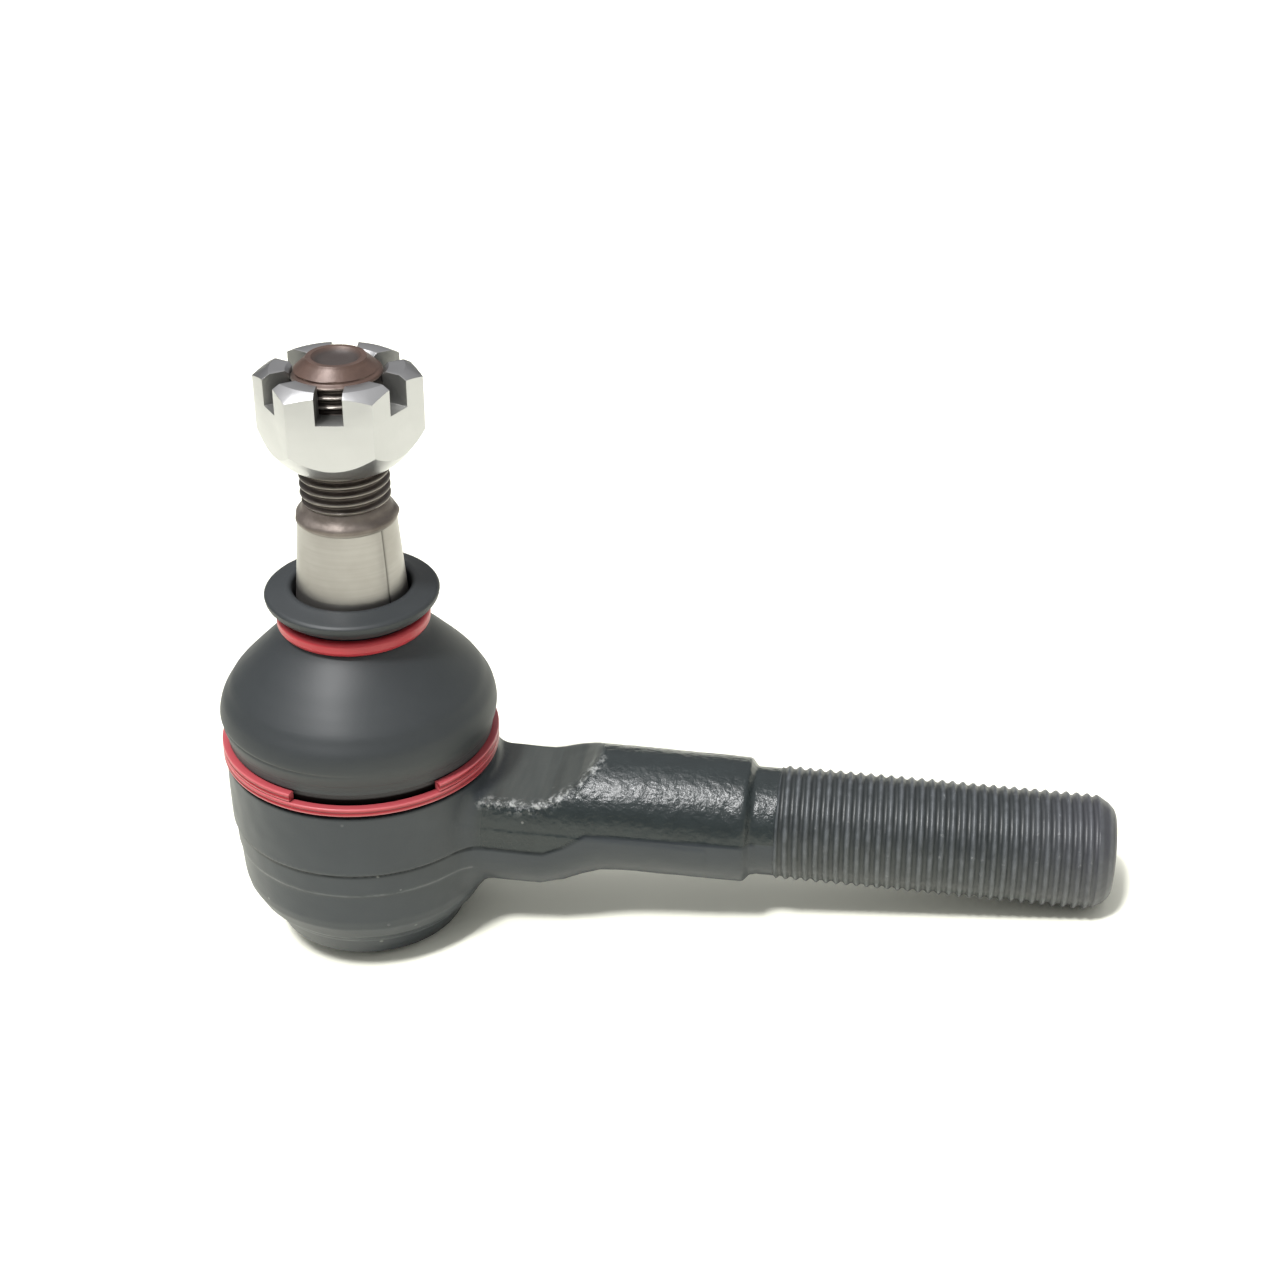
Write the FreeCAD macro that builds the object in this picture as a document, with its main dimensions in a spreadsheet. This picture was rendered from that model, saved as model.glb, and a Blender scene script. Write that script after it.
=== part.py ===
"""Tie rod end: a forged housing with a threaded shank, holding a ball stud.

Frame: millimetres, +Z up along the stud, +X along the shank. The origin is the
centre of the flat underside of the housing.
"""
import FreeCAD, Part
import os
import Sketcher

FULL_TURN = 360

# Driving dimensions: alias, value and what it measures. Lengths are millimetres.
DIMENSIONS = [
    ("shank_height", 20.6, "height of the shank's axis above the underside"),
    ("ball_height", 17.0, "height of the ball's centre"),
    ("ball_radius", 10.5, "ball of the stud"),
    ("ball_clearance", 0.05, "running gap between the ball and its two seats"),
    # housing, outside
    ("rim_radius", 13.3, "flat rim that is rolled over the closing plate"),
    ("rim_shoulder_radius", 15.0, "where the rolled rim meets the body"),
    ("rim_shoulder_height", 3.6, "height of that shoulder"),
    ("skirt_radius", 17.9, "lower end of the drafted body"),
    ("skirt_height", 8.4, "height of that lower end"),
    ("belt_radius", 18.7, "body at the forging's parting line"),
    ("belt_height", 17.5, "height of the parting line"),
    ("body_radius", 19.05, "largest radius of the body"),
    ("body_height", 21.0, "where the body reaches that radius"),
    ("shoulder_height", 27.6, "shoulder that carries the boot"),
    ("boss_radius", 16.2, "boss inside the boot's bead"),
    ("boss_height", 31.5, "top of the boss"),
    # housing, inside
    ("bore_radius", 12.0, "bore that holds both seats"),
    ("bore_top", 22.9, "ledge above the upper seat"),
    ("mouth_radius", 9.35, "narrowest part of the mouth"),
    ("mouth_top_radius", 13.95, "mouth at the top of the boss"),
    ("plate_seat_radius", 12.6, "recess of the closing plate"),
    ("plate_seat_top", 2.45, "top of that recess"),
    ("rim_opening", 11.4, "opening inside the rolled rim"),
    ("rim_thickness", 0.95, "thickness of the rolled rim"),
    # shank
    ("shank_body_radius", 8.8, "plain forged length of the shank"),
    ("shank_body_end", 55.2, "end of the forged length"),
    ("shank_neck_radius", 7.62, "turned neck before the thread"),
    ("shank_neck_start", 56.4, "start of the neck"),
    ("thread_start", 59.6, "start of the shank's thread"),
    ("shank_major_radius", 7.9375, "major radius, 5/8-18 UNF"),
    ("shank_pitch", 1.411, "pitch, 18 threads to the inch"),
    ("shank_thread_end", 102.6, "where the end starts to round off"),
    ("shank_tip_start", 104.4, "middle of that rounding"),
    ("shank_tip_radius", 6.9, "radius there"),
    ("shank_end_radius", 5.6, "flat end face of the shank"),
    ("shank_end", 105.4, "overall reach of the shank from the stud's axis"),
    # neck of the forging, between the body and the shank
    ("root_start", 4.0, "where shank and rib start, inside the body"),
    ("saddle_height", 24.7, "flat on top of the neck"),
    ("saddle_end", 26.8, "where that flat starts to rise"),
    ("saddle_rise_end", 33.8, "where it clears the top of the shank"),
    ("saddle_rise_height", 29.5, "height there"),
    ("keel_half_width", 8.75, "rib under the neck"),
    ("keel_bottom", 8.6, "underside of the rib"),
    ("keel_end", 27.4, "where the rib starts to rise"),
    ("keel_rise_end", 34.6, "where the rib meets the shank"),
    ("keel_rise_height", 12.4, "underside of the rib there"),
    ("keel_rounding", 8.0, "rounding of the rib's lower edges"),
    # threads, all with 60 degree flanks
    ("thread_depth_part", 0.6134, "depth of a thread, in pitches"),
    ("crest_half_part", 0.4375, "half the groove's width at the crests, in pitches"),
    ("root_half_part", 0.0833, "half the groove's width at its floor, in pitches"),
    ("thread_overcut", 0.05, "height of the groove's outline above the crests"),
    # ball stud
    ("stud_neck_radius", 5.0, "neck above the ball"),
    ("stud_neck_top", 37.0, "top of the parallel neck"),
    ("flare_radius", 6.8, "neck where it widens towards the taper"),
    ("flare_height", 45.2, "height there"),
    ("taper_bottom", 48.6, "large end of the taper"),
    ("taper_top", 63.2, "small end of the taper"),
    ("taper_top_radius", 6.62, "radius at the small end"),
    ("taper_ratio", 12.0, "length per unit of radius: a taper of 1 in 6"),
    ("collar_radius", 6.9, "unground collar above the taper"),
    ("collar_bottom", 63.5, "underside of the collar"),
    ("collar_top", 64.7, "top of the collar's edge"),
    ("stud_relief_radius", 5.2, "relief under the stud's thread"),
    ("stud_relief_bottom", 66.3, "lower end of that relief"),
    ("stud_thread_start", 66.6, "first full turn of the stud's thread"),
    ("stud_major_radius", 6.0, "major radius, M12 x 1.25"),
    ("stud_pitch", 1.25, "pitch of the stud's thread"),
    ("stud_chamfer_start", 84.0, "lower end of the end chamfer"),
    ("stud_end_radius", 3.9, "flat end of the stud"),
    ("stud_end", 86.0, "overall height"),
    ("centre_radius", 2.4, "turning centre in the end"),
    ("centre_floor_radius", 1.6, "floor of the turning centre"),
    ("centre_depth", 0.8, "depth of the turning centre"),
    ("cotter_radius", 1.6, "hole for a split pin"),
    ("cotter_height", 81.0, "height of that hole"),
    # castle nut
    ("nut_bottom", 72.0, "underside of the nut"),
    ("nut_top", 84.5, "top of the nut's teeth"),
    ("nut_across_flats", 19.0, "spanner size"),
    ("nut_face_radius", 7.6, "underside of the nut"),
    ("nut_cone_top", 76.0, "upper end of the underside's cone"),
    ("nut_crown_radius", 8.7, "flat tops of the teeth"),
    ("nut_crown_depth", 1.3, "drop of the crown chamfer at the corners"),
    ("nut_bore_radius", 6.06, "bore, at the thread's major diameter"),
    ("nut_slot_width", 3.55, "slot for a split pin"),
    ("nut_slot_bottom", 80.4, "floor of the slots"),
    ("nut_turn", 9.0, "angle of a corner from +X, in degrees"),
    # boot and its rings
    ("bead_inner_radius", 16.3, "boot's bead around the boss"),
    ("bead_outer_radius", 18.1, "outside of the bead, under the base rings"),
    ("bead_bottom", 27.65, "underside of the bead"),
    ("bead_top", 30.7, "top of the groove for the base rings"),
    ("boot_wall", 2.0, "thickness of the boot"),
    ("hip_radius", 18.8, "boot just above its base rings"),
    ("hip_height", 32.2, "height there"),
    ("dome_radius", 19.2, "fullest part of the boot"),
    ("dome_low", 33.6, "lower end of the fullest part"),
    ("dome_high", 34.8, "upper end of the fullest part"),
    ("bulge_radius", 18.5, "dome above its fullest part"),
    ("bulge_height", 37.0, "height there"),
    ("slope_radius", 16.8, "lower end of the sloping wall"),
    ("slope_height", 39.4, "height there"),
    ("upper_slope_radius", 14.0, "middle of the sloping wall"),
    ("upper_slope_height", 42.6, "height there"),
    ("boot_neck_radius", 10.6, "top of the sloping wall"),
    ("boot_neck_height", 46.3, "height there"),
    ("groove_radius", 9.35, "groove for the top ring"),
    ("groove_bottom", 47.2, "lower side of the groove"),
    ("groove_top", 49.6, "upper side of the groove"),
    ("lip_radius", 11.9, "flared lip of the boot"),
    ("lip_bottom", 51.0, "underside of the lip's edge"),
    ("lip_top", 52.6, "top of the lip's edge"),
    ("lip_crest", 53.3, "highest point of the lip, at its hole"),
    ("lip_hole_radius", 8.05, "hole through the lip"),
    ("ring_inner_radius", 18.2, "inside of the two base rings"),
    ("ring_outer_radius", 19.4, "outside of the two base rings"),
    ("ring_thickness", 1.2, "height of one base ring"),
    ("ring_chamfer", 0.15, "chamfer of a base ring's outer edges"),
    ("ring_gap", 62.7, "gap between a base ring's ends, in degrees"),
    ("ring_gap_middle", -73.2, "middle of the upper ring's gap, from +X, in degrees"),
    ("lower_ring_bottom", 27.9, "underside of the lower base ring"),
    ("upper_ring_bottom", 29.2, "underside of the upper base ring"),
    ("top_ring_radius", 10.5, "outside of the top ring"),
    ("top_ring_chamfer", 0.4, "chamfer of its outer edges"),
    ("top_ring_gap", 0.05, "gap between the top ring and the floor of its groove"),
    ("top_ring_bottom", 47.3, "underside of the top ring"),
    ("top_ring_top", 49.4, "top of the top ring"),
    # seats, spring and closing plate
    ("seat_outer_radius", 11.95, "outside of both seats"),
    ("upper_seat_opening", 9.2, "opening of the upper seat"),
    ("upper_seat_bottom", 15.6, "lower edge of the upper seat"),
    ("upper_seat_top", 22.85, "upper edge of the upper seat"),
    ("lower_seat_bottom", 4.9, "underside of the lower seat"),
    ("lower_seat_top", 14.4, "rim of the lower seat"),
    ("lower_seat_chamfer", 1.2, "chamfer of its lower edge"),
    ("seat_hole_radius", 2.5, "grease hole in the lower seat"),
    ("spring_inner_radius", 5.0, "hole of the disc spring"),
    ("spring_outer_radius", 11.4, "edge of the disc spring"),
    ("spring_thickness", 0.9, "thickness of the disc spring"),
    ("plate_radius", 12.55, "flange of the closing plate"),
    ("plate_flush_radius", 10.7, "middle of the plate, flush with the rim"),
    ("plate_step_radius", 11.2, "upper end of the step around that middle"),
]


def make_sheet(document):
    """Write the driving dimensions into a spreadsheet with an alias for each cell."""
    sheet = document.addObject("Spreadsheet::Sheet", "sizes")
    for row, (alias, value, meaning) in enumerate(DIMENSIONS, start=1):
        sheet.set(f"A{row}", alias)
        sheet.set(f"B{row}", repr(value))
        sheet.set(f"C{row}", meaning)
        sheet.setAlias(f"B{row}", alias)
    document.recompute()
    return sheet


def new_body(document, label):
    """Start a sub-part. Its label is its file's name."""
    body = document.addObject("PartDesign::Body", label)
    body.Label = label
    return body


def plane_sketch(body, role, name):
    """Add a sketch on one of the body's own origin planes."""
    plane = next(f for f in body.Origin.OriginFeatures if f.Role == role)
    sketch = body.newObject("Sketcher::SketchObject", name)
    sketch.AttachmentSupport = [(plane, "")]
    sketch.MapMode = "FlatFace"
    return sketch


def value_of(sketch, expression):
    """Work an expression out with the sheet's present values."""
    return float(sketch.evalExpression(expression))


def bind_point(sketch, line, index, across, up):
    """Fix the start of a line at two expressions, which are 0 on an axis."""
    origin = (-1, 1)
    for axis, kind, expression in ((-2, "DistanceX", across), (-1, "DistanceY", up)):
        size = value_of(sketch, expression)
        if size == 0:
            sketch.addConstraint(Sketcher.Constraint("PointOnObject", line, 1, axis))
            continue
        place = sketch.addConstraint(Sketcher.Constraint(kind, *origin, line, 1, size))
        sketch.renameConstraint(place, f"{kind}{index}")
        sketch.setExpression(f"Constraints.{kind}{index}", expression)


def outline(sketch, corners):
    """Draw a closed outline through corners given as pairs of expressions."""
    points = [
        FreeCAD.Vector(value_of(sketch, across), value_of(sketch, up), 0)
        for across, up in corners
    ]
    lines = []
    for here, there in zip(points, points[1:] + points[:1]):
        lines.append(sketch.addGeometry(Part.LineSegment(here, there), False))
    for line, following in zip(lines, lines[1:] + lines[:1]):
        sketch.addConstraint(Sketcher.Constraint("Coincident", line, 2, following, 1))
    for index, (line, (across, up)) in enumerate(zip(lines, corners)):
        bind_point(sketch, line, index, across, up)


def in_sheet(corners):
    """Let corners name cells of the sheet: 'a - 1' becomes 'sizes.a - 1'."""
    names = {alias for alias, _, _ in DIMENSIONS}

    def full(text):
        words = str(text).replace("(", "( ").replace(")", " )").split()
        return " ".join(f"sizes.{word}" if word in names else word for word in words)

    return [(full(across), full(up)) for across, up in corners]


def turned(body, name, corners, kind="PartDesign::Revolution"):
    """Revolve an outline in the XZ plane about the stud's axis, or cut it away."""
    sketch = plane_sketch(body, "XZ_Plane", name + "_outline")
    outline(sketch, in_sheet(corners))
    feature = body.newObject(kind, name)
    feature.Profile = sketch
    feature.ReferenceAxis = (sketch, ["V_Axis"])
    feature.Angle = FULL_TURN
    return feature


def sphere(body, name, radius, kind):
    """Add a ball of the given radius about the ball's centre, or cut it away."""
    ball = body.newObject(kind, name)
    ball.setExpression("Radius", radius)
    ball.setExpression("Placement.Base.z", "sizes.ball_height")
    return ball


def helical_groove(body, name, plane_corners, axis, pitch, length, offset=None):
    """Cut a thread: a V groove carried along a right-hand helix."""
    sketch = plane_sketch(body, "XZ_Plane", name + "_outline")
    if offset:
        sketch.setExpression("AttachmentOffset.Base.y", offset)
    outline(sketch, in_sheet(plane_corners))
    helix = body.newObject("PartDesign::SubtractiveHelix", name)
    helix.Profile = sketch
    helix.ReferenceAxis = (sketch, [axis])
    helix.Mode = 0
    helix.setExpression("Pitch", pitch)
    helix.setExpression("Height", length)
    return helix


def thread_outline(start, radius, pitch):
    """Outline of a thread's groove, as pairs of place along the axis and radius."""
    middle = f"{start} + {pitch} / 2"
    crest = f"( crest_half_part * {pitch} + thread_overcut / 2 )"
    root = f"root_half_part * {pitch}"
    top = f"{radius} + thread_overcut"
    floor = f"{radius} - thread_depth_part * {pitch}"
    return [
        (f"{middle} - {crest}", top),
        (f"{middle} - {root}", floor),
        (f"{middle} + {root}", floor),
        (f"{middle} + {crest}", top),
    ]


def add_shank(body):
    """Turned and forged shank, revolved about its own level axis."""
    sketch = plane_sketch(body, "XZ_Plane", "shank_outline")
    sketch.setExpression("AttachmentOffset.Base.y", "sizes.shank_height")
    corners = [
        ("root_start", "0"),
        ("shank_end", "0"),
        ("shank_end", "shank_end_radius"),
        ("shank_tip_start", "shank_tip_radius"),
        ("shank_thread_end", "shank_major_radius"),
        ("thread_start", "shank_major_radius"),
        ("thread_start - 0.5", "shank_neck_radius"),
        ("shank_neck_start", "shank_neck_radius"),
        ("shank_body_end", "shank_body_radius"),
        ("root_start", "shank_body_radius"),
    ]
    outline(sketch, in_sheet(corners))
    shank = body.newObject("PartDesign::Revolution", "shank")
    shank.Profile = sketch
    shank.ReferenceAxis = (sketch, ["H_Axis"])
    shank.Angle = FULL_TURN


def is_lower_side_edge(edge, half_width, level):
    """Tell whether a straight edge runs along the lower side of a midplane pad."""
    ends = [vertex.Point for vertex in edge.Vertexes]
    if len(ends) != 2 or abs(ends[0].x - ends[1].x) < 1:
        return False
    return all(
        abs(abs(end.y) - half_width) < 0.01 and end.z < level - 1 for end in ends
    )


def add_keel(body):
    """Rib under the neck, which carries the load from the shank into the body."""
    sketch = plane_sketch(body, "XZ_Plane", "keel_outline")
    corners = [
        ("root_start", "keel_bottom"),
        ("keel_end", "keel_bottom"),
        ("keel_rise_end", "keel_rise_height"),
        ("keel_rise_end", "shank_height"),
        ("root_start", "shank_height"),
    ]
    outline(sketch, in_sheet(corners))
    keel = body.newObject("PartDesign::Pad", "keel")
    keel.Profile = sketch
    keel.Midplane = True
    keel.setExpression("Length", "2 * sizes.keel_half_width")
    body.Document.recompute()
    half_width = value_of(sketch, "sizes.keel_half_width")
    shank_level = value_of(sketch, "sizes.shank_height")
    edges = [
        f"Edge{number}"
        for number, edge in enumerate(keel.Shape.Edges, start=1)
        if is_lower_side_edge(edge, half_width, shank_level)
    ]
    rounding = body.newObject("PartDesign::Fillet", "keel_rounding")
    rounding.Base = (keel, edges)
    rounding.setExpression("Radius", "sizes.keel_rounding")


def cut_saddle(body):
    """Flat on top of the neck, which rises in a ramp to the top of the shank."""
    sketch = plane_sketch(body, "XZ_Plane", "saddle_outline")
    corners = [
        ("root_start", "saddle_height"),
        ("saddle_end", "saddle_height"),
        ("saddle_rise_end", "saddle_rise_height"),
        ("saddle_rise_end", "shank_height + 2 * shank_body_radius"),
        ("root_start", "shank_height + 2 * shank_body_radius"),
    ]
    outline(sketch, in_sheet(corners))
    saddle = body.newObject("PartDesign::Pocket", "saddle")
    saddle.Profile = sketch
    saddle.Midplane = True
    saddle.setExpression("Length", "4 * sizes.shank_body_radius")


def make_housing(document):
    """Forging: round body, neck and threaded shank, bored for the ball joint."""
    body = new_body(document, "housing")
    add_keel(body)
    add_shank(body)
    cut_saddle(body)
    turned(body, "socket", [
        ("0", "0"),
        ("rim_radius", "0"),
        ("rim_shoulder_radius", "rim_shoulder_height"),
        ("skirt_radius", "skirt_height"),
        ("belt_radius", "belt_height"),
        ("body_radius", "body_height"),
        ("body_radius", "shoulder_height"),
        ("boss_radius", "shoulder_height"),
        ("boss_radius", "boss_height"),
        ("0", "boss_height"),
    ])
    turned(body, "cavity", [
        ("0", "0"),
        ("rim_opening", "0"),
        ("rim_opening", "rim_thickness"),
        ("plate_seat_radius", "rim_thickness"),
        ("plate_seat_radius", "plate_seat_top"),
        ("bore_radius", "plate_seat_top"),
        ("bore_radius", "bore_top"),
        ("mouth_radius", "bore_top"),
        ("mouth_top_radius", "boss_height"),
        ("0", "boss_height"),
    ], "PartDesign::Groove")
    groove = thread_outline("thread_start", "shank_major_radius", "shank_pitch")
    helical_groove(
        body, "shank_thread", groove, "H_Axis", "sizes.shank_pitch",
        "sizes.shank_end - sizes.thread_start + 0.5", "sizes.shank_height",
    )
    return body


def cut_cotter_hole(body):
    """Drill the split pin hole, in line with one pair of the nut's slots."""
    sketch = plane_sketch(body, "YZ_Plane", "cotter_outline")
    height = value_of(sketch, "sizes.cotter_height")
    radius = value_of(sketch, "sizes.cotter_radius")
    middle = FreeCAD.Vector(0, height, 0)
    circle = sketch.addGeometry(Part.Circle(middle, FreeCAD.Vector(0, 0, 1), radius), False)
    sketch.addConstraint(Sketcher.Constraint("PointOnObject", circle, 3, -2))
    level = sketch.addConstraint(
        Sketcher.Constraint("DistanceY", -1, 1, circle, 3, height)
    )
    size = sketch.addConstraint(Sketcher.Constraint("Radius", circle, radius))
    sketch.renameConstraint(level, "level")
    sketch.renameConstraint(size, "size")
    sketch.setExpression("Constraints.level", "sizes.cotter_height")
    sketch.setExpression("Constraints.size", "sizes.cotter_radius")
    hole = body.newObject("PartDesign::Pocket", "cotter_hole")
    hole.Profile = sketch
    hole.Midplane = True
    hole.setExpression("Length", "4 * sizes.stud_major_radius")


def make_ball_stud(document):
    """Ball, neck, ground taper, collar and threaded end, in one piece."""
    body = new_body(document, "ball_stud")
    taper_bottom_radius = "taper_top_radius + ( taper_top - taper_bottom ) / taper_ratio"
    turned(body, "stem", [
        ("0", "ball_height"),
        ("stud_neck_radius", "ball_height"),
        ("stud_neck_radius", "stud_neck_top"),
        ("flare_radius", "flare_height"),
        (taper_bottom_radius, "taper_bottom"),
        ("taper_top_radius", "taper_top"),
        ("collar_radius", "collar_bottom"),
        ("collar_radius", "collar_top"),
        ("stud_relief_radius", "stud_relief_bottom"),
        ("stud_relief_radius", "stud_thread_start"),
        ("stud_major_radius", "stud_thread_start + 0.5"),
        ("stud_major_radius", "stud_chamfer_start"),
        ("stud_end_radius", "stud_end"),
        ("centre_radius", "stud_end"),
        ("centre_floor_radius", "stud_end - centre_depth"),
        ("0", "stud_end - centre_depth"),
    ])
    sphere(body, "ball", "sizes.ball_radius", "PartDesign::AdditiveSphere")
    cut_cotter_hole(body)
    groove = thread_outline("stud_thread_start", "stud_major_radius", "stud_pitch")
    upright = [(radius, along) for along, radius in groove]
    helical_groove(
        body, "stud_thread", upright, "V_Axis", "sizes.stud_pitch",
        "sizes.stud_end - sizes.stud_thread_start - 0.5",
    )
    body.setExpression("Placement.Rotation.Angle", "( sizes.nut_turn + 30 ) * 1 deg")
    return body


def make_castle_nut(document):
    """Hexagon nut with a coned underside and six slots in its crown."""
    body = new_body(document, "castle_nut")
    corner_radius = "nut_across_flats / 2 / cos( 30 deg )"
    turned(body, "blank", [
        ("nut_bore_radius", "nut_bottom"),
        ("nut_face_radius", "nut_bottom"),
        (corner_radius, "nut_cone_top"),
        (corner_radius, "nut_top - nut_crown_depth"),
        ("nut_crown_radius", "nut_top"),
        ("nut_bore_radius", "nut_top"),
    ])
    sketch = plane_sketch(body, "XZ_Plane", "flat_outline")
    outline(sketch, in_sheet([
        ("nut_across_flats / 2", "nut_bottom - 1"),
        ("nut_across_flats", "nut_bottom - 1"),
        ("nut_across_flats", "nut_top + 1"),
        ("nut_across_flats / 2", "nut_top + 1"),
    ]))
    flat = body.newObject("PartDesign::Pocket", "flat")
    flat.Profile = sketch
    flat.Midplane = True
    flat.setExpression("Length", "2 * sizes.nut_across_flats")
    slot_sketch = plane_sketch(body, "YZ_Plane", "slot_outline")
    outline(slot_sketch, in_sheet([
        ("0 - nut_slot_width / 2", "nut_slot_bottom"),
        ("nut_slot_width / 2", "nut_slot_bottom"),
        ("nut_slot_width / 2", "nut_top + 1"),
        ("0 - nut_slot_width / 2", "nut_top + 1"),
    ]))
    slot = body.newObject("PartDesign::Pocket", "slot")
    slot.Profile = slot_sketch
    slot.Midplane = False
    slot.Reversed = True
    slot.setExpression("Length", "sizes.nut_across_flats")
    document.recompute()
    pattern = body.newObject("PartDesign::PolarPattern", "six_sides")
    pattern.Originals = [flat, slot]
    axis = next(f for f in body.Origin.OriginFeatures if f.Role == "Z_Axis")
    pattern.Axis = (axis, [""])
    pattern.Angle = FULL_TURN
    pattern.Occurrences = 6
    body.Tip = pattern
    body.setExpression("Placement.Rotation.Angle", "( sizes.nut_turn - 30 ) * 1 deg")
    return body


def make_dust_boot(document):
    """Rubber boot: bead on the housing, dome, and flared lip on the stud's taper."""
    body = new_body(document, "dust_boot")
    turned(body, "boot", [
        ("bead_inner_radius", "bead_bottom"),
        ("bead_outer_radius", "bead_bottom"),
        ("bead_outer_radius", "bead_top"),
        ("hip_radius", "hip_height"),
        ("dome_radius", "dome_low"),
        ("dome_radius", "dome_high"),
        ("bulge_radius", "bulge_height"),
        ("slope_radius", "slope_height"),
        ("upper_slope_radius", "upper_slope_height"),
        ("boot_neck_radius", "boot_neck_height"),
        ("groove_radius", "groove_bottom"),
        ("groove_radius", "groove_top"),
        ("lip_radius", "lip_bottom"),
        ("lip_radius", "lip_top"),
        ("lip_hole_radius", "lip_crest"),
        ("lip_hole_radius", "groove_bottom"),
        ("boot_neck_radius - boot_wall / 2", "boot_neck_height - boot_wall"),
        ("upper_slope_radius - boot_wall", "upper_slope_height - boot_wall / 2"),
        ("slope_radius - boot_wall / 2", "slope_height - boot_wall"),
        ("dome_radius - boot_wall", "dome_high"),
        ("dome_radius - boot_wall", "dome_low"),
        ("bead_inner_radius", "boss_height + 0.2"),
    ])
    return body


def make_top_ring(document):
    """Closed band that holds the boot's neck against the taper."""
    body = new_body(document, "boot_top_ring")
    turned(body, "band", [
        ("groove_radius + top_ring_gap", "top_ring_bottom"),
        ("top_ring_radius - top_ring_chamfer", "top_ring_bottom"),
        ("top_ring_radius", "top_ring_bottom + top_ring_chamfer"),
        ("top_ring_radius", "top_ring_top - top_ring_chamfer"),
        ("top_ring_radius - top_ring_chamfer", "top_ring_top"),
        ("groove_radius + top_ring_gap", "top_ring_top"),
    ])
    return body


def make_base_ring(document, label, bottom, turn):
    """Open flat ring around the boot's bead, with its gap turned to an angle."""
    body = new_body(document, label)
    ring = turned(body, label + "_band", [
        ("ring_inner_radius", bottom),
        ("ring_outer_radius - ring_chamfer", bottom),
        ("ring_outer_radius", bottom + " + ring_chamfer"),
        ("ring_outer_radius", bottom + " + ring_thickness - ring_chamfer"),
        ("ring_outer_radius - ring_chamfer", bottom + " + ring_thickness"),
        ("ring_inner_radius", bottom + " + ring_thickness"),
    ])
    ring.Midplane = True
    ring.setExpression("Angle", "( 360 - sizes.ring_gap ) * 1 deg")
    body.setExpression("Placement.Rotation.Angle", f"( {turn} ) * 1 deg")
    return body


def make_upper_seat(document):
    """Bearing ring between the upper half of the ball and the housing."""
    body = new_body(document, "upper_seat")
    turned(body, "ring", [
        ("upper_seat_opening", "upper_seat_bottom"),
        ("seat_outer_radius", "upper_seat_bottom"),
        ("seat_outer_radius", "upper_seat_top"),
        ("upper_seat_opening", "upper_seat_top"),
    ])
    hollow = "sizes.ball_radius + sizes.ball_clearance"
    sphere(body, "hollow", hollow, "PartDesign::SubtractiveSphere")
    return body


def make_lower_seat(document):
    """Cup that the spring presses against the underside of the ball."""
    body = new_body(document, "lower_seat")
    turned(body, "cup", [
        ("seat_hole_radius", "lower_seat_bottom"),
        ("seat_outer_radius - lower_seat_chamfer", "lower_seat_bottom"),
        ("seat_outer_radius", "lower_seat_bottom + lower_seat_chamfer"),
        ("seat_outer_radius", "lower_seat_top"),
        ("seat_hole_radius", "lower_seat_top"),
    ])
    hollow = "sizes.ball_radius + sizes.ball_clearance"
    sphere(body, "hollow_below", hollow, "PartDesign::SubtractiveSphere")
    return body


def make_disc_spring(document):
    """Coned washer that preloads the lower seat against the ball."""
    body = new_body(document, "disc_spring")
    turned(body, "washer", [
        ("spring_inner_radius", "lower_seat_bottom - spring_thickness"),
        ("spring_outer_radius", "plate_seat_top"),
        ("spring_outer_radius", "plate_seat_top + spring_thickness"),
        ("spring_inner_radius", "lower_seat_bottom"),
    ])
    return body


def make_cover_plate(document):
    """Closing plate, held by the rolled rim and flush with it in the middle."""
    body = new_body(document, "cover_plate")
    turned(body, "plate", [
        ("0", "0"),
        ("plate_flush_radius", "0"),
        ("plate_step_radius", "rim_thickness"),
        ("plate_radius", "rim_thickness"),
        ("plate_radius", "plate_seat_top"),
        ("0", "plate_seat_top"),
    ])
    return body


def check_cuts(document):
    """Stop if a cutting feature took nothing away from the one before it."""
    for feature in document.Objects:
        cutting = feature.TypeId.removeprefix("PartDesign::")
        if cutting not in ("Groove", "Pocket", "SubtractiveHelix", "SubtractiveSphere"):
            continue
        removed = feature.BaseFeature.Shape.Volume - feature.Shape.Volume
        if removed < 1:
            raise RuntimeError(f"{feature.Label} cuts nothing")


def check(document, bodies):
    """Stop if any feature failed or any sub-part is empty or broken."""
    failed = [o.Name for o in document.Objects if {"Invalid", "Error"} & set(o.State)]
    if failed:
        raise RuntimeError(f"features failed: {failed}")
    check_cuts(document)
    for body in bodies:
        shape = body.Shape
        if shape.isNull() or not shape.isValid() or shape.Volume <= 0:
            raise RuntimeError(f"{body.Label} has no sound shape")


def main():
    document = FreeCAD.newDocument("tie_rod_end")
    make_sheet(document)
    # an open ring is drawn with its gap towards -X, then turned
    gap_in_front = "sizes.ring_gap_middle + 180"
    gap_behind = "sizes.ring_gap_middle"
    bodies = [
        make_housing(document),
        make_ball_stud(document),
        make_castle_nut(document),
        make_dust_boot(document),
        make_top_ring(document),
        make_base_ring(document, "boot_base_ring_upper", "upper_ring_bottom", gap_in_front),
        make_base_ring(document, "boot_base_ring_lower", "lower_ring_bottom", gap_behind),
        make_upper_seat(document),
        make_lower_seat(document),
        make_disc_spring(document),
        make_cover_plate(document),
    ]
    document.recompute()
    check(document, bodies)
    os.makedirs("parts", exist_ok=True)
    for body in bodies:
        body.Shape.exportStep(f"parts/{body.Label}.step")
        print(body.Label, round(body.Shape.Volume, 1), "mm3")


main()
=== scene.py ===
"""Looks of the tie rod end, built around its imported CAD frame.

Lengths in the shape functions are millimetres in the row frame: +Z up along the
stud, +X along the shank, origin at the centre of the housing's underside. They are
turned into metres when a mesh is made.
"""
import math
from itertools import product

import bmesh
import bpy
import numpy as np
from mathutils import Matrix, Vector


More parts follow.
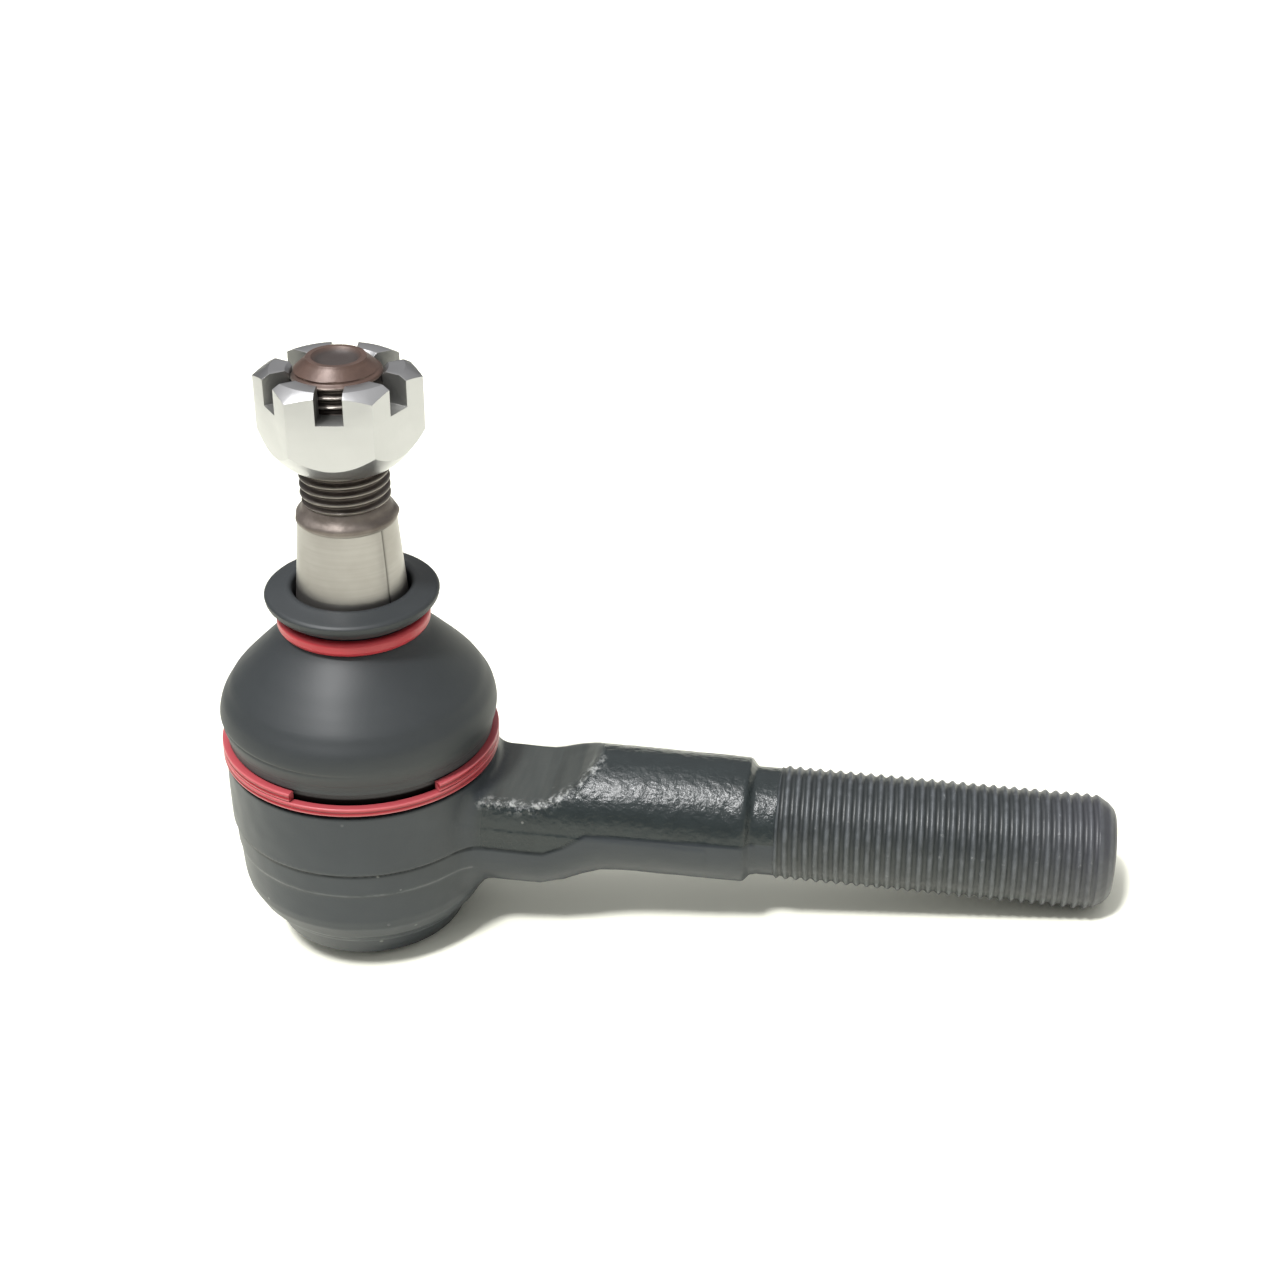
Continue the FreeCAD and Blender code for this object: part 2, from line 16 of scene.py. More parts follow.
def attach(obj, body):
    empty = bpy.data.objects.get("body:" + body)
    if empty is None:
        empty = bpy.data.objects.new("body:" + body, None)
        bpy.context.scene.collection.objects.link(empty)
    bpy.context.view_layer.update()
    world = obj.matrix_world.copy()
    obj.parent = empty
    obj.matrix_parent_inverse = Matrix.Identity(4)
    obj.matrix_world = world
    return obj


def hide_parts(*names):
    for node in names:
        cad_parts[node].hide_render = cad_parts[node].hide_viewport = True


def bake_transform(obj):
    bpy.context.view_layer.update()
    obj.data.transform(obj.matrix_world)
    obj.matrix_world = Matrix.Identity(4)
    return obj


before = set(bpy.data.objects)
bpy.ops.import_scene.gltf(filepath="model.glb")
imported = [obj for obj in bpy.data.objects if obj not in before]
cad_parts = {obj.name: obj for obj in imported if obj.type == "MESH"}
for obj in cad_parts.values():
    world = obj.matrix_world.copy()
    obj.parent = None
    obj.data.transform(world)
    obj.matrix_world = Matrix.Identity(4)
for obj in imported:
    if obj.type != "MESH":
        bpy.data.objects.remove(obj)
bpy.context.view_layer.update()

MM = 0.001

# housing
SHANK_Z = 20.6
SHANK_SHOULDER_X = 57.0
SHANK_THREAD_START = 59.6
SHANK_THREAD_RADIUS = 7.9375
SHANK_PITCH = 1.411
SHANK_THREAD_HEIGHT = 0.40
SHANK_END = 105.4
SHOULDER_Z = 27.6
BOSS_RADIUS = 16.2
BOSS_Z = 31.5
SOCKET_PARTING_Z = 17.42
SOCKET_LINES_Z = (14.02, 3.85)
# stud and nut
BALL_Z = 17.0
BALL_RADIUS = 10.5
NECK_RADIUS = 5.0
TAPER_SLOPE = 1 / 12
TAPER_SEAM_DEGREES = -31.0
TAPER_BOTTOM_Z = 48.6
TAPER_TOP_Z = 63.2
TAPER_TOP_RADIUS = 6.62
STUD_RADIUS = 6.0
STUD_PITCH = 1.25
STUD_THREAD_HEIGHT = 0.62
STUD_THREAD_START = 65.9
STUD_END_Z = 86.0
NUT_BOTTOM_Z = 72.0
NUT_TOP_Z = 84.5
NUT_ACROSS_FLATS = 19.0
NUT_CORNER_DEGREES = 9.0
SLOT_DEGREES = NUT_CORNER_DEGREES + 30
SLOT_WIDTH = 3.55
SLOT_FLOOR_Z = 80.4
COTTER_RADIUS = 1.6
COTTER_Z = 81.0
# boot and its rings
BOOT_SPLIT_Z = 39.2
BASE_RING_HEIGHT = 1.2
UPPER_RING_Z = 29.2
LOWER_RING_Z = 27.9
RING_GAP = 62.7
RING_GAP_MIDDLE = -73.2
# steps round a turned piece
ROUND_STEPS = 256


# ---------------------------------------------------------------- mesh helpers

def add_object(name, data):
    """Put an object with some data into the scene."""
    added = bpy.data.objects.new(name, data)
    bpy.context.scene.collection.objects.link(added)
    return added


def make_mesh(name, points, faces, sharp_degrees=None):
    """Make an object from points in millimetres and a list or array of faces."""
    mesh = bpy.data.meshes.new(name)
    faces = [list(face) for face in faces]
    mesh.from_pydata((np.asarray(points) * MM).tolist(), [], faces)
    mesh.update()
    piece = add_object(name, mesh)
    smooth(piece, sharp_degrees)
    return piece


def smooth(piece, sharp_degrees=None):
    """Shade a piece smooth, but keep edges sharper than an angle."""
    mesh = piece.data
    mesh.polygons.foreach_set("use_smooth", [True] * len(mesh.polygons))
    if sharp_degrees is not None:
        mesh.set_sharp_from_angle(angle=math.radians(sharp_degrees))
    mesh.update()


def merge_points(piece):
    """Merge points that fall together, such as those on an axis of revolution."""
    work = bmesh.new()
    work.from_mesh(piece.data)
    bmesh.ops.remove_doubles(work, verts=work.verts, dist=1e-7)
    bmesh.ops.recalc_face_normals(work, faces=work.faces)
    work.to_mesh(piece.data)
    work.free()


def grid_faces(rows, columns, close_rows=False, close_columns=True):
    """Quads of a grid of points that may close on itself in either direction."""
    row = np.arange(rows if close_rows else rows - 1)
    column = np.arange(columns if close_columns else columns - 1)
    row, column = np.meshgrid(row, column, indexing="ij")
    next_row = (row + 1) % rows
    next_column = (column + 1) % columns
    corners = [
        row * columns + column,
        row * columns + next_column,
        next_row * columns + next_column,
        next_row * columns + column,
    ]
    return np.stack(corners, axis=-1).reshape(-1, 4)


def rounded(corners, arc_steps=6):
    """Turn corners given as (radius, height, rounding) into a profile with arcs."""
    profile = []
    count = len(corners)
    for index, (radius, height, rounding) in enumerate(corners):
        here = np.array([radius, height])
        if rounding == 0:
            profile.append(here)
            continue
        before = np.array(corners[index - 1][:2]) - here
        after = np.array(corners[(index + 1) % count][:2]) - here
        reach_before = min(rounding, 0.48 * np.linalg.norm(before))
        reach_after = min(rounding, 0.48 * np.linalg.norm(after))
        start = here + before / np.linalg.norm(before) * reach_before
        end = here + after / np.linalg.norm(after) * reach_after
        for t in np.linspace(0, 1, arc_steps + 1):
            profile.append((1 - t) ** 2 * start + 2 * t * (1 - t) * here + t * t * end)
    return np.array(profile)


def divided(profile, longest):
    """Divide the long runs of an open profile into steps no longer than longest."""
    points = [profile[0]]
    for here, there in zip(profile[:-1], profile[1:]):
        steps = max(1, math.ceil(np.linalg.norm(there - here) / longest))
        points.extend(here + (there - here) * k / steps for k in range(1, steps + 1))
    return np.array(points)


def lathe_points(profile, steps=ROUND_STEPS):
    """Points of a profile turned about Z, one row for each profile point."""
    angles = np.linspace(0, 2 * math.pi, steps, endpoint=False)
    radius, height = profile[:, :1], profile[:, 1:]
    x = radius * np.cos(angles)
    y = radius * np.sin(angles)
    return np.stack([x, y, np.broadcast_to(height, x.shape)], axis=-1)


def lathe(name, profile, closed, sharp_degrees=None, steps=ROUND_STEPS):
    """Turn a profile about Z. A closed profile makes a ring."""
    points = lathe_points(profile, steps).reshape(-1, 3)
    faces = grid_faces(len(profile), steps, close_rows=closed)
    piece = make_mesh(name, points, faces)
    merge_points(piece)
    smooth(piece, sharp_degrees)
    return piece


def ripple(points, wavelength, seed):
    """Smooth noise of about unit size, made of plane waves of one rough length."""
    random = np.random.default_rng(seed)
    total = np.zeros(len(points))
    waves = 20
    for _ in range(waves):
        direction = random.normal(size=3)
        direction /= np.linalg.norm(direction)
        number = 2 * math.pi / (wavelength * random.uniform(0.7, 1.5))
        total += np.cos(points @ direction * number + random.uniform(0, 2 * math.pi))
    return total * math.sqrt(2 / waves)


def step_up(value, start, end):
    """Smooth step from 0 at start to 1 at end."""
    t = np.clip((value - start) / (end - start), 0, 1)
    return t * t * (3 - 2 * t)


def set_attribute(piece, name, values):
    """Store one number for each point, for the materials to read."""
    attribute = piece.data.attributes.new(name, "FLOAT", "POINT")
    attribute.data.foreach_set("value", np.asarray(values, np.float32))


def read_points(piece, what):
    """Three numbers for each point of a piece, such as its place or its normal."""
    flat = np.zeros(len(piece.data.vertices) * 3)
    piece.data.vertices.foreach_get(what, flat)
    return flat.reshape(-1, 3)


def points_of(piece):
    """Points of a piece in millimetres."""
    return read_points(piece, "co") / MM


def move_points(piece, points):
    """Put a piece's points at places in millimetres."""
    piece.data.vertices.foreach_set("co", (points * MM).ravel())
    piece.data.update()


# ------------------------------------------------------------ forged housing

def soft_max(a, b, softness):
    """Greater of two fields, with the edge between them rounded."""
    blend = np.clip(0.5 + 0.5 * (a - b) / softness, 0, 1)
    return b + (a - b) * blend + softness * blend * (1 - blend)


def soft_min(a, b, softness):
    """Smaller of two fields, with the corner between them filleted."""
    return -soft_max(-a, -b, softness)


def parting_height(x):
    """Height of the forging's parting line along the neck and the shank."""
    return np.interp(x, [0, 27.5, 30.5, 33.5, 56], [17.5, 17.4, 18.9, 21.2, 21.6])


def saddle_height(x):
    """Height of the saddle's floor, which ends in a ramp up to the shank."""
    along = [0, 26.4, 28.0, 29.6, 31.8, 33.2, 34.8, 40]
    up = [24.7, 24.7, 25.2, 26.1, 27.25, 28.3, 29.8, 36]
    return np.interp(x, along, up)


def shank_outline(x):
    """Radius of the forged shank and of the turned neck before the thread."""
    along = [0, 30, 54.9, 55.3, 56.1, 56.4, 60]
    radius = [8.8, 8.8, 8.75, 8.65, 7.72, 7.64, 7.64]
    return np.interp(x, along, radius)


def socket_outline(z):
    """Outer radius of the housing's round body, with its rim and parting step."""
    up = [0, 0.5, 3.5, 3.8, 4.2, 5.5, 7.6, 9, 13.5, 13.85, 14.0, 14.3, 17.2, 17.6, 17.9, 21, 28]
    radius = [
        13.2, 13.6, 15.0, 15.25, 15.4, 16.7, 17.75, 18.05, 18.3,
        18.36, 18.5, 18.52, 18.66, 18.7, 18.98, 19.05, 19.05,
    ]
    return np.interp(z, up, radius)


def forging_fields(points):
    """Fields whose zero levels are the surfaces that bound the forging."""
    x, y, z = points[..., 0], points[..., 1], points[..., 2]
    across = np.sqrt(x * x + y * y)
    socket = soft_max((across - socket_outline(z)) * 0.97, z - SHOULDER_Z, 0.5)
    socket = soft_max(socket, -z, 0.4)
    around = np.sqrt(y * y + (z - SHANK_Z) ** 2)
    shank = around - shank_outline(x)
    rounding = 8.0
    half_width = 8.85
    keel_bottom = np.interp(x, [0, 26.5, 30, 32.6, 35.2, 40], [8.5, 8.5, 9.6, 10.9, 11.9, 12.6])
    side = np.abs(y) - (half_width - rounding)
    under = (keel_bottom + rounding) - z
    outside = np.sqrt(np.maximum(side, 0) ** 2 + np.maximum(under, 0) ** 2)
    keel = outside + np.minimum(np.maximum(side, under), 0) - rounding
    keel = np.maximum(np.maximum(keel, z - SHANK_Z), x - 50)
    bar = soft_min(shank, keel, 0.4)
    ledge = step_up(parting_height(x) - z, -0.12, 0.12) * step_up(SHANK_SHOULDER_X - x, 0, 0.5)
    bar = bar - 0.16 * ledge + 0.08
    saddle = (z - saddle_height(x)) * 0.88
    return socket, bar, saddle


def cavity_field(points):
    """Field of the bore, the mouth and the rolled rim inside the housing."""
    x, y, z = points[..., 0], points[..., 1], points[..., 2]
    across = np.sqrt(x * x + y * y)
    up = [-1, 0.94, 0.96, 2.44, 2.46, 22.89, 22.91, 31.5, 33]
    radius = [11.4, 11.4, 12.6, 12.6, 12.0, 12.0, 9.35, 13.95, 14.8]
    return across - np.interp(z, up, radius)


def forging_field(points):
    """Field of the whole forging, negative inside."""
    x = points[..., 0]
    z = points[..., 2]
    socket, bar, saddle = forging_fields(points)
    bar = soft_max(bar, saddle, 0.7)
    bar_start = 13.4
    bar_end = SHANK_THREAD_START + 0.1
    bar = np.maximum(bar, np.maximum(bar_start - x, x - bar_end))
    body = soft_min(socket, bar, 2.6)
    across = np.sqrt(x * x + points[..., 1] ** 2)
    boss_bottom = 20
    boss = np.maximum(np.maximum(across - BOSS_RADIUS, z - BOSS_Z), boss_bottom - z)
    body = np.minimum(body, boss)
    return np.maximum(body, -cavity_field(points))


def surface_net(field, low, step):
    """Quads around the zero level of a field sampled on a grid, facing outwards."""
    cells = tuple(n - 1 for n in field.shape)
    offsets = np.array(list(product((0, 1), repeat=3)))
    values = np.stack([
        field[i:i + cells[0], j:j + cells[1], k:k + cells[2]] for i, j, k in offsets
    ], axis=-1)
    inside = (values < 0).sum(axis=-1)
    place = np.argwhere((inside > 0) & (inside < 8))
    values = values[tuple(place.T)]
    index = np.full(cells, -1)
    index[tuple(place.T)] = np.arange(len(place))
    total = np.zeros((len(place), 3))
    crossings = np.zeros(len(place))
    for a, b in product(range(8), repeat=2):
        if a >= b or np.abs(offsets[a] - offsets[b]).sum() != 1:
            continue
        crossed = (values[:, a] < 0) != (values[:, b] < 0)
        share = values[crossed, a] / (values[crossed, a] - values[crossed, b])
        total[crossed] += offsets[a] + share[:, None] * (offsets[b] - offsets[a])
        crossings[crossed] += 1
    points = low + step * (place + total / crossings[:, None])
    faces = []
    for axis in range(3):
        along = np.eye(3, dtype=int)[axis]
        side = np.eye(3, dtype=int)[(axis + 1) % 3]
        other = np.eye(3, dtype=int)[(axis + 2) % 3]
        here = field < 0
        ahead = np.roll(here, -1, axis=axis)
        edge = np.argwhere(here != ahead)
        limit = np.array(field.shape) - 1 - along
        edge = edge[(edge < np.array(cells)).all(axis=1) & (edge <= limit).all(axis=1)]
        edge = edge[((edge - side - other) * (side + other) >= 0).all(axis=1)]
        ring = [edge - side - other, edge - other, edge, edge - side]
        quads = np.stack([index[tuple(c.T)] for c in ring], axis=-1)
        leaving = here[tuple(edge.T)]
        quads[~leaving] = quads[~leaving][:, ::-1]
        faces.append(quads)
    return points, np.concatenate(faces)


def settle_on(points, field, rounds=4):
    """Move points along a field's slope until they lie on its zero level."""
    reach = 0.02
    longest = 0.12
    for _ in range(rounds):
        value = field(points)
        slope = np.stack([
            (field(points + reach * axis) - field(points - reach * axis)) / (2 * reach)
            for axis in np.eye(3)
        ], axis=-1)
        size = np.maximum((slope * slope).sum(axis=-1), 0.25)
        step = slope * (value / size)[:, None]
        points = points - np.clip(step, -longest, longest)
    return points


def forging_zones(points):
    """How far each point is on the bar, on the saddle's floor, on its ridge and rough."""
    socket, bar, saddle = forging_fields(points)
    x, y, z = points.T
    on_bar = step_up(socket, 0.3, 2.0)
    above = step_up(z - parting_height(x), -0.1, 0.15)
    on_saddle = step_up(-np.abs(saddle), -0.5, -0.1) * on_bar * (x < 36)
    # The ridge fades out towards +Y, so the torn ridge and its pale specks, partly painted glint,
    # stay on the front side.
    front = step_up(-y, -1.0, 2.0)
    ridge = np.exp(-(saddle ** 2 + bar ** 2) / 0.8 ** 2) * on_bar * front * (x < 35.5)
    rough = on_bar * above * (1 - on_saddle)
    return on_bar, on_saddle, ridge, rough


def forging_relief(points, ridge, rough):
    """Height of the cast skin, the fine grain and the torn ridge, outside only."""
    cast = 0.010 * ripple(points, 1.5, 1) + 0.012 * ripple(points, 0.8, 2)
    cast = cast + 0.05 * ripple(points, 9.0, 6)
    grain = 0.010 * ripple(points, 3.0, 3)
    torn = 0.07 * ripple(points, 1.6, 4) + 0.05 * ripple(points, 0.9, 5)
    height = cast * rough + grain * (1 - rough) + torn * ridge
    bore_reach = 15.5
    seen = np.sqrt(points[:, 0] ** 2 + points[:, 1] ** 2) > bore_reach
    return height * seen


def forging_lines(points, on_bar):
    """How far each point is in the painted shade along the parting step and under the ring, and
    on the painted highlights along the socket's edge lines.
    """
    x, z = points[:, 0], points[:, 2]
    line = np.where(on_bar > 0.5, z - parting_height(x), z - SOCKET_PARTING_Z)
    below_tip = step_up(SHANK_SHOULDER_X + 0.2 - x, 0, 0.6)
    # Painted shadow on the housing's shoulder, just under the base ring.
    painted_shadow_under_ring = step_up(z, 27.0, 27.35) * (on_bar < 0.5)
    fading = np.where(on_bar > 0.5, np.interp(x, [29, 36], [0.6, 0.2]), 1)
    # Painted shade along the parting step, fading out along the bar.
    parting = np.exp(-(line / 0.24) ** 2) * below_tip * fading
    # Painted highlights along the socket's two lower edge lines.
    light = sum(np.exp(-((z - height) / 0.15) ** 2) for height in SOCKET_LINES_Z)
    return np.maximum(parting, painted_shadow_under_ring), light * (on_bar < 0.5)


def make_forging():
    """Forged and painted housing with its neck and plain shank."""
    step = 0.3
    low = np.array([-19.6, -19.6, -0.6])
    high = np.array([60.4, 19.6, 32.2])
    axes = [np.arange(a, b, step) for a, b in zip(low, high)]
    grid = np.stack(np.meshgrid(*axes, indexing="ij"), axis=-1)
    points, faces = surface_net(forging_field(grid), low, step)
    points = settle_on(points, forging_field)
    on_bar, on_saddle, ridge, rough = forging_zones(points)
    height = forging_relief(points, ridge, rough)
    piece = make_mesh("housing_forging", points, faces)
    move_points(piece, points + read_points(piece, "normal") * height[:, None])
    # The two masks are painted shade (parting step and under the ring) and painted highlights
    # (socket edge lines), stored as the line and edge attributes.
    dark, light = forging_lines(points, on_bar)
    shares = {"rough": rough, "ridge": ridge, "saddle": on_saddle, "line": dark, "edge": light}
    for name, values in shares.items():
        set_attribute(piece, name, values)
    return piece


# -------------------------------------------------------------------- threads

def thread_depth(phase):
    """Share of the full depth at a phase of the turn: 0 on the crest, 1 in the root."""
    away = np.abs(2 * (phase % 1) - 1)
    straight = np.clip((away - 0.1) / 0.85, 0, 1)
    return straight ** 1.3 * (1 - 0.35 * straight ** 3) / 0.65


def threaded_bar(name, along, outline, major, pitch, start, height, steps=160):
    """Bar along +Z whose surface is the lower of a thread and an outline."""
    angles = np.linspace(0, 2 * math.pi, steps, endpoint=False)
    along = along[:, None]
    phase = (along - start) / pitch - angles / (2 * math.pi)
    runout = step_up(along, start - 0.8 * pitch, start + 0.3 * pitch)
    depth = height * thread_depth(phase) * runout
    radius = np.minimum(major - depth, outline(along))
    crest = 1 - thread_depth(phase) * runout
    points = np.stack([
        radius * np.cos(angles), radius * np.sin(angles), np.broadcast_to(along, radius.shape)
    ], axis=-1).reshape(-1, 3)
    faces = grid_faces(len(along), steps).tolist()
    faces.append(list(range(steps))[::-1])
    faces.append(list(range(len(points) - steps, len(points))))
    piece = make_mesh(name, points, faces, 50)
    set_attribute(piece, "crest", crest.ravel())
    return piece


def make_shank_thread():
    """Threaded end of the shank, rounded off at its tip."""
    start = SHANK_THREAD_START - 0.15

    def outline(x):
        along = [start, start + 0.4, 102.4, 102.9, 104.4, 105.1, SHANK_END]
        radius = [7.55, 7.94, 7.94, 7.8, 6.9, 6.2, 5.6]
        return np.interp(x, along, radius)

    along = np.concatenate([np.arange(start, SHANK_END - 0.1, 0.1), [SHANK_END]])
    piece = threaded_bar(
        "shank_thread", along, outline, SHANK_THREAD_RADIUS, SHANK_PITCH, SHANK_THREAD_START,
        SHANK_THREAD_HEIGHT,
    )
    points = points_of(piece)
    wear = 0.02 * ripple(points, 2.5, 11)
    across = np.hypot(points[:, 0], points[:, 1])
    inner = (points[:, 2] > start + 0.5) & (points[:, 2] < 104) & (across > 1)
    scale = 1 - np.abs(wear) * inner / across
    points[:, :2] *= scale[:, None]
    lay_down = np.stack([points[:, 2], points[:, 0], points[:, 1] + SHANK_Z], axis=-1)
    move_points(piece, lay_down)
    return piece


# ----------------------------------------------------------------- ball stud

def make_stud_body():
    """Ball, neck, ground taper and collar."""
    bottom_radius = TAPER_TOP_RADIUS + (TAPER_TOP_Z - TAPER_BOTTOM_Z) * TAPER_SLOPE
    join = math.sqrt(BALL_RADIUS ** 2 - NECK_RADIUS ** 2)
    low = -math.pi / 2
    high = math.atan2(join, NECK_RADIUS)
    ball = [
        (BALL_RADIUS * math.cos(a), BALL_Z + BALL_RADIUS * math.sin(a))
        for a in np.linspace(low, high, 60)
    ]
    upper = rounded([
        (NECK_RADIUS, BALL_Z + join + 0.8, 0.6),
        (NECK_RADIUS, 38.8, 2),
        (6.2, 44.6, 2),
        (bottom_radius, TAPER_BOTTOM_Z, 0.6),
        (TAPER_TOP_RADIUS, TAPER_TOP_Z, 0.05),
        (6.75, 63.3, 0.08),
        (6.9, 63.9, 0.2),
        (6.7, 64.3, 0.3),
        (6.1, 64.85, 0.5),
        (5.75, 65.6, 0.3),
        (5.2, 66.3, 0),
    ])
    profile = np.concatenate([ball, upper, [(0, 66.3)]])
    profile[0] = (0, BALL_Z - BALL_RADIUS)
    profile = divided(profile, 0.45)
    piece = lathe("stud_body", profile, closed=False, sharp_degrees=40)
    points = points_of(piece)
    angle = np.arctan2(points[:, 1], points[:, 0])
    across = np.hypot(points[:, 0], points[:, 1])
    unground = step_up(points[:, 2], TAPER_TOP_Z - 0.1, TAPER_TOP_Z + 0.4)
    uneven = 0.05 * ripple(points, 3.0, 21) * unground
    seam = np.exp(-((angle - math.radians(TAPER_SEAM_DEGREES)) * across / 0.14) ** 2)
    on_taper = (points[:, 2] > 47) & (points[:, 2] < TAPER_TOP_Z)
    uneven = uneven - 0.12 * seam * on_taper
    scale = 1 + np.where(across > 1, uneven / np.maximum(across, 1), 0)
    points[:, :2] *= scale[:, None]
    move_points(piece, points)
    set_attribute(piece, "oxide", unground)
    set_attribute(piece, "seam", seam * on_taper)
    return piece


def make_stud_thread():
    """Threaded end of the stud, with its turning centre and split pin hole."""
    start = STUD_THREAD_START
    root = start - 0.6

    def outline(z):
        up = [root, start, 66.4, 83.8, 84.2, STUD_END_Z - 0.3, STUD_END_Z]
        radius = [5.2, 5.6, 6.0, 6.0, 5.8, 4.15, 3.9]
        return np.interp(z, up, radius)

    along = np.concatenate([np.arange(root, STUD_END_Z - 0.05, 0.08), [STUD_END_Z]])
    piece = threaded_bar(
        "stud_thread", along, outline, STUD_RADIUS, STUD_PITCH, start, STUD_THREAD_HEIGHT
    )
    turn = math.radians(SLOT_DEGREES)
    drill = cylinder("drill", COTTER_RADIUS, 20, 48)
    drill.matrix_world = (
        Matrix.Translation((0, 0, COTTER_Z * MM))
        @ Matrix.Rotation(turn, 4, "Z")
        @ Matrix.Rotation(math.pi / 2, 4, "Y")
    )
    cut(piece, drill)
    dish = lathe("dish", rounded([
        (0, STUD_END_Z - 0.8, 0), (2.2, STUD_END_Z - 0.75, 0.6),
        (3.3, STUD_END_Z + 0.02, 0.4), (3.6, STUD_END_Z + 0.5, 0), (0, STUD_END_Z + 0.5, 0),
    ]), closed=True, steps=96)
    cut(piece, dish)
    smooth(piece, 40)
    return piece


def cylinder(name, radius, length, steps):
    """Closed cylinder about Z, centred on the origin."""
    profile = np.array([
        (0, -length / 2), (radius, -length / 2), (radius, length / 2), (0, length / 2)
    ])
    return lathe(name, profile, closed=False, steps=steps)


def box(name, size, centre):
    """Closed box of a size about a centre."""
    corners = np.array(list(product((-0.5, 0.5), repeat=3))) * size + centre
    faces = [
        (0, 1, 3, 2), (4, 6, 7, 5), (0, 4, 5, 1), (2, 3, 7, 6), (0, 2, 6, 4), (1, 5, 7, 3)
    ]
    return make_mesh(name, corners, faces)


def cut(piece, tool, operation="DIFFERENCE"):
    """Combine a piece with a tool, which is used up."""
    bpy.context.view_layer.update()
    modifier = piece.modifiers.new("cut", "BOOLEAN")
    modifier.operation = operation
    modifier.solver = "EXACT"
    modifier.object = tool
    apply_modifiers(piece)
    bpy.data.objects.remove(tool, do_unlink=True)


def apply_modifiers(piece):
    """Replace a piece's mesh with the result of its modifiers."""
    bpy.context.view_layer.update()
    graph = bpy.context.evaluated_depsgraph_get()
    mesh = bpy.data.meshes.new_from_object(piece.evaluated_get(graph))
    piece.modifiers.clear()
    piece.data = mesh


# ---------------------------------------------------------------- castle nut

def make_castle_nut():
    """Hexagon nut with a coned underside, a chamfered crown and six slots."""
    corner = NUT_ACROSS_FLATS / 2 / math.cos(math.pi / 6)
    blank = lathe("castle_nut_body", np.array([
        (6.06, NUT_BOTTOM_Z + 0.5),
        (6.6, NUT_BOTTOM_Z),
        (7.6, NUT_BOTTOM_Z),
        (8.6, NUT_BOTTOM_Z + 0.9),
        (corner + 0.05, NUT_BOTTOM_Z + 4.0),
        (corner + 0.05, NUT_TOP_Z - 1.3),
        (8.7, NUT_TOP_Z),
        (6.6, NUT_TOP_Z),
        (6.06, NUT_TOP_Z - 0.5),
    ]), closed=True, steps=120)
    angles = [math.radians(NUT_CORNER_DEGREES + 60 * k) for k in range(6)]
    ring = [(corner * math.cos(a), corner * math.sin(a)) for a in angles]
    points = [(x, y, z) for z in (NUT_BOTTOM_Z - 1, NUT_TOP_Z + 1) for x, y in ring]
    faces = [tuple(range(6))[::-1], tuple(range(6, 12))]
    faces += [(k, (k + 1) % 6, (k + 1) % 6 + 6, k + 6) for k in range(6)]
    cut(blank, make_mesh("hexagon", points, faces), "INTERSECT")
    for k in range(3):
        slot = box("slot", (30, SLOT_WIDTH, 8), (0, 0, SLOT_FLOOR_Z + 4))
        slot.matrix_world = Matrix.Rotation(math.radians(SLOT_DEGREES + 60 * k), 4, "Z")
        cut(blank, slot)
    merge_points(blank)
    bevel = blank.modifiers.new("edges", "BEVEL")
    bevel.width = 0.28 * MM
    bevel.segments = 3
    bevel.limit_method = "ANGLE"
    bevel.angle_limit = math.radians(28)
    apply_modifiers(blank)
    smooth(blank, 40)
    # Mark the slot walls and floors for the painted shade in the nut's material.
    on_wall = on_slot_walls(points_of(blank))
    walls = [all(on_wall[k] for k in face.vertices) for face in blank.data.polygons]
    attribute = blank.data.attributes.new("slot", "FLOAT", "FACE")
    attribute.data.foreach_set("value", np.asarray(walls, np.float32))
    return blank


def on_slot_walls(points):
    """Which points lie on the walls and floors of the nut's slots."""
    angle = np.arctan2(points[:, 1], points[:, 0]) - math.radians(SLOT_DEGREES)
    across = np.hypot(points[:, 0], points[:, 1])
    beside = across * np.abs(np.sin((angle + math.pi / 6) % (math.pi / 3) - math.pi / 6))
    return (beside < SLOT_WIDTH / 2 + 0.05) & (points[:, 2] > SLOT_FLOOR_Z - 0.05)


# ----------------------------------------------------------- boot and its rings

def curve_through(knots, steps=8):
    """Smooth curve through knots, with the given number of steps between them."""
    knots = np.asarray(knots, float)
    padded = np.vstack([2 * knots[0] - knots[1], knots, 2 * knots[-1] - knots[-2]])
    points = []
    for a, b, c, d in zip(padded[:-3], padded[1:-2], padded[2:-1], padded[3:]):
        for t in np.linspace(0, 1, steps, endpoint=False):
            points.append(0.5 * (
                2 * b + (c - a) * t + (2 * a - 5 * b + 4 * c - d) * t ** 2
                + (3 * b - a - 3 * c + d) * t ** 3
            ))
    points.append(knots[-1])
    return np.array(points)


def boot_profiles():
    """Outside of the lower and upper boot from the bead up, and the two insides."""
    dome = curve_through([
        (18.5, 30.75), (18.55, 31.5), (18.85, 32.6), (19.15, 33.8), (19.18, 35.0),
        (18.75, 36.7), (17.9, 38.15), (17.2, BOOT_SPLIT_Z), (15.95, 40.6), (14.9, 41.7),
        (13.5, 43.15), (11.8, 44.8), (10.4, 46.1), (9.7, 46.9), (9.4, 47.25),
    ])
    inside = curve_through([
        (16.3, 31.8), (17.0, 33.0), (17.3, 34.6), (16.7, 37.2), (15.5, BOOT_SPLIT_Z),
        (14.6, 40.6), (13.2, 42.0), (10.6, 44.4), (8.6, 46.4), (8.05, 48),
    ])
    split_out = np.argmin(np.abs(dome[:, 1] - BOOT_SPLIT_Z))
    split_in = np.argmin(np.abs(inside[:, 1] - BOOT_SPLIT_Z))
    dome[split_out, 1] = inside[split_in, 1] = BOOT_SPLIT_Z
    return dome, split_out, inside, split_in


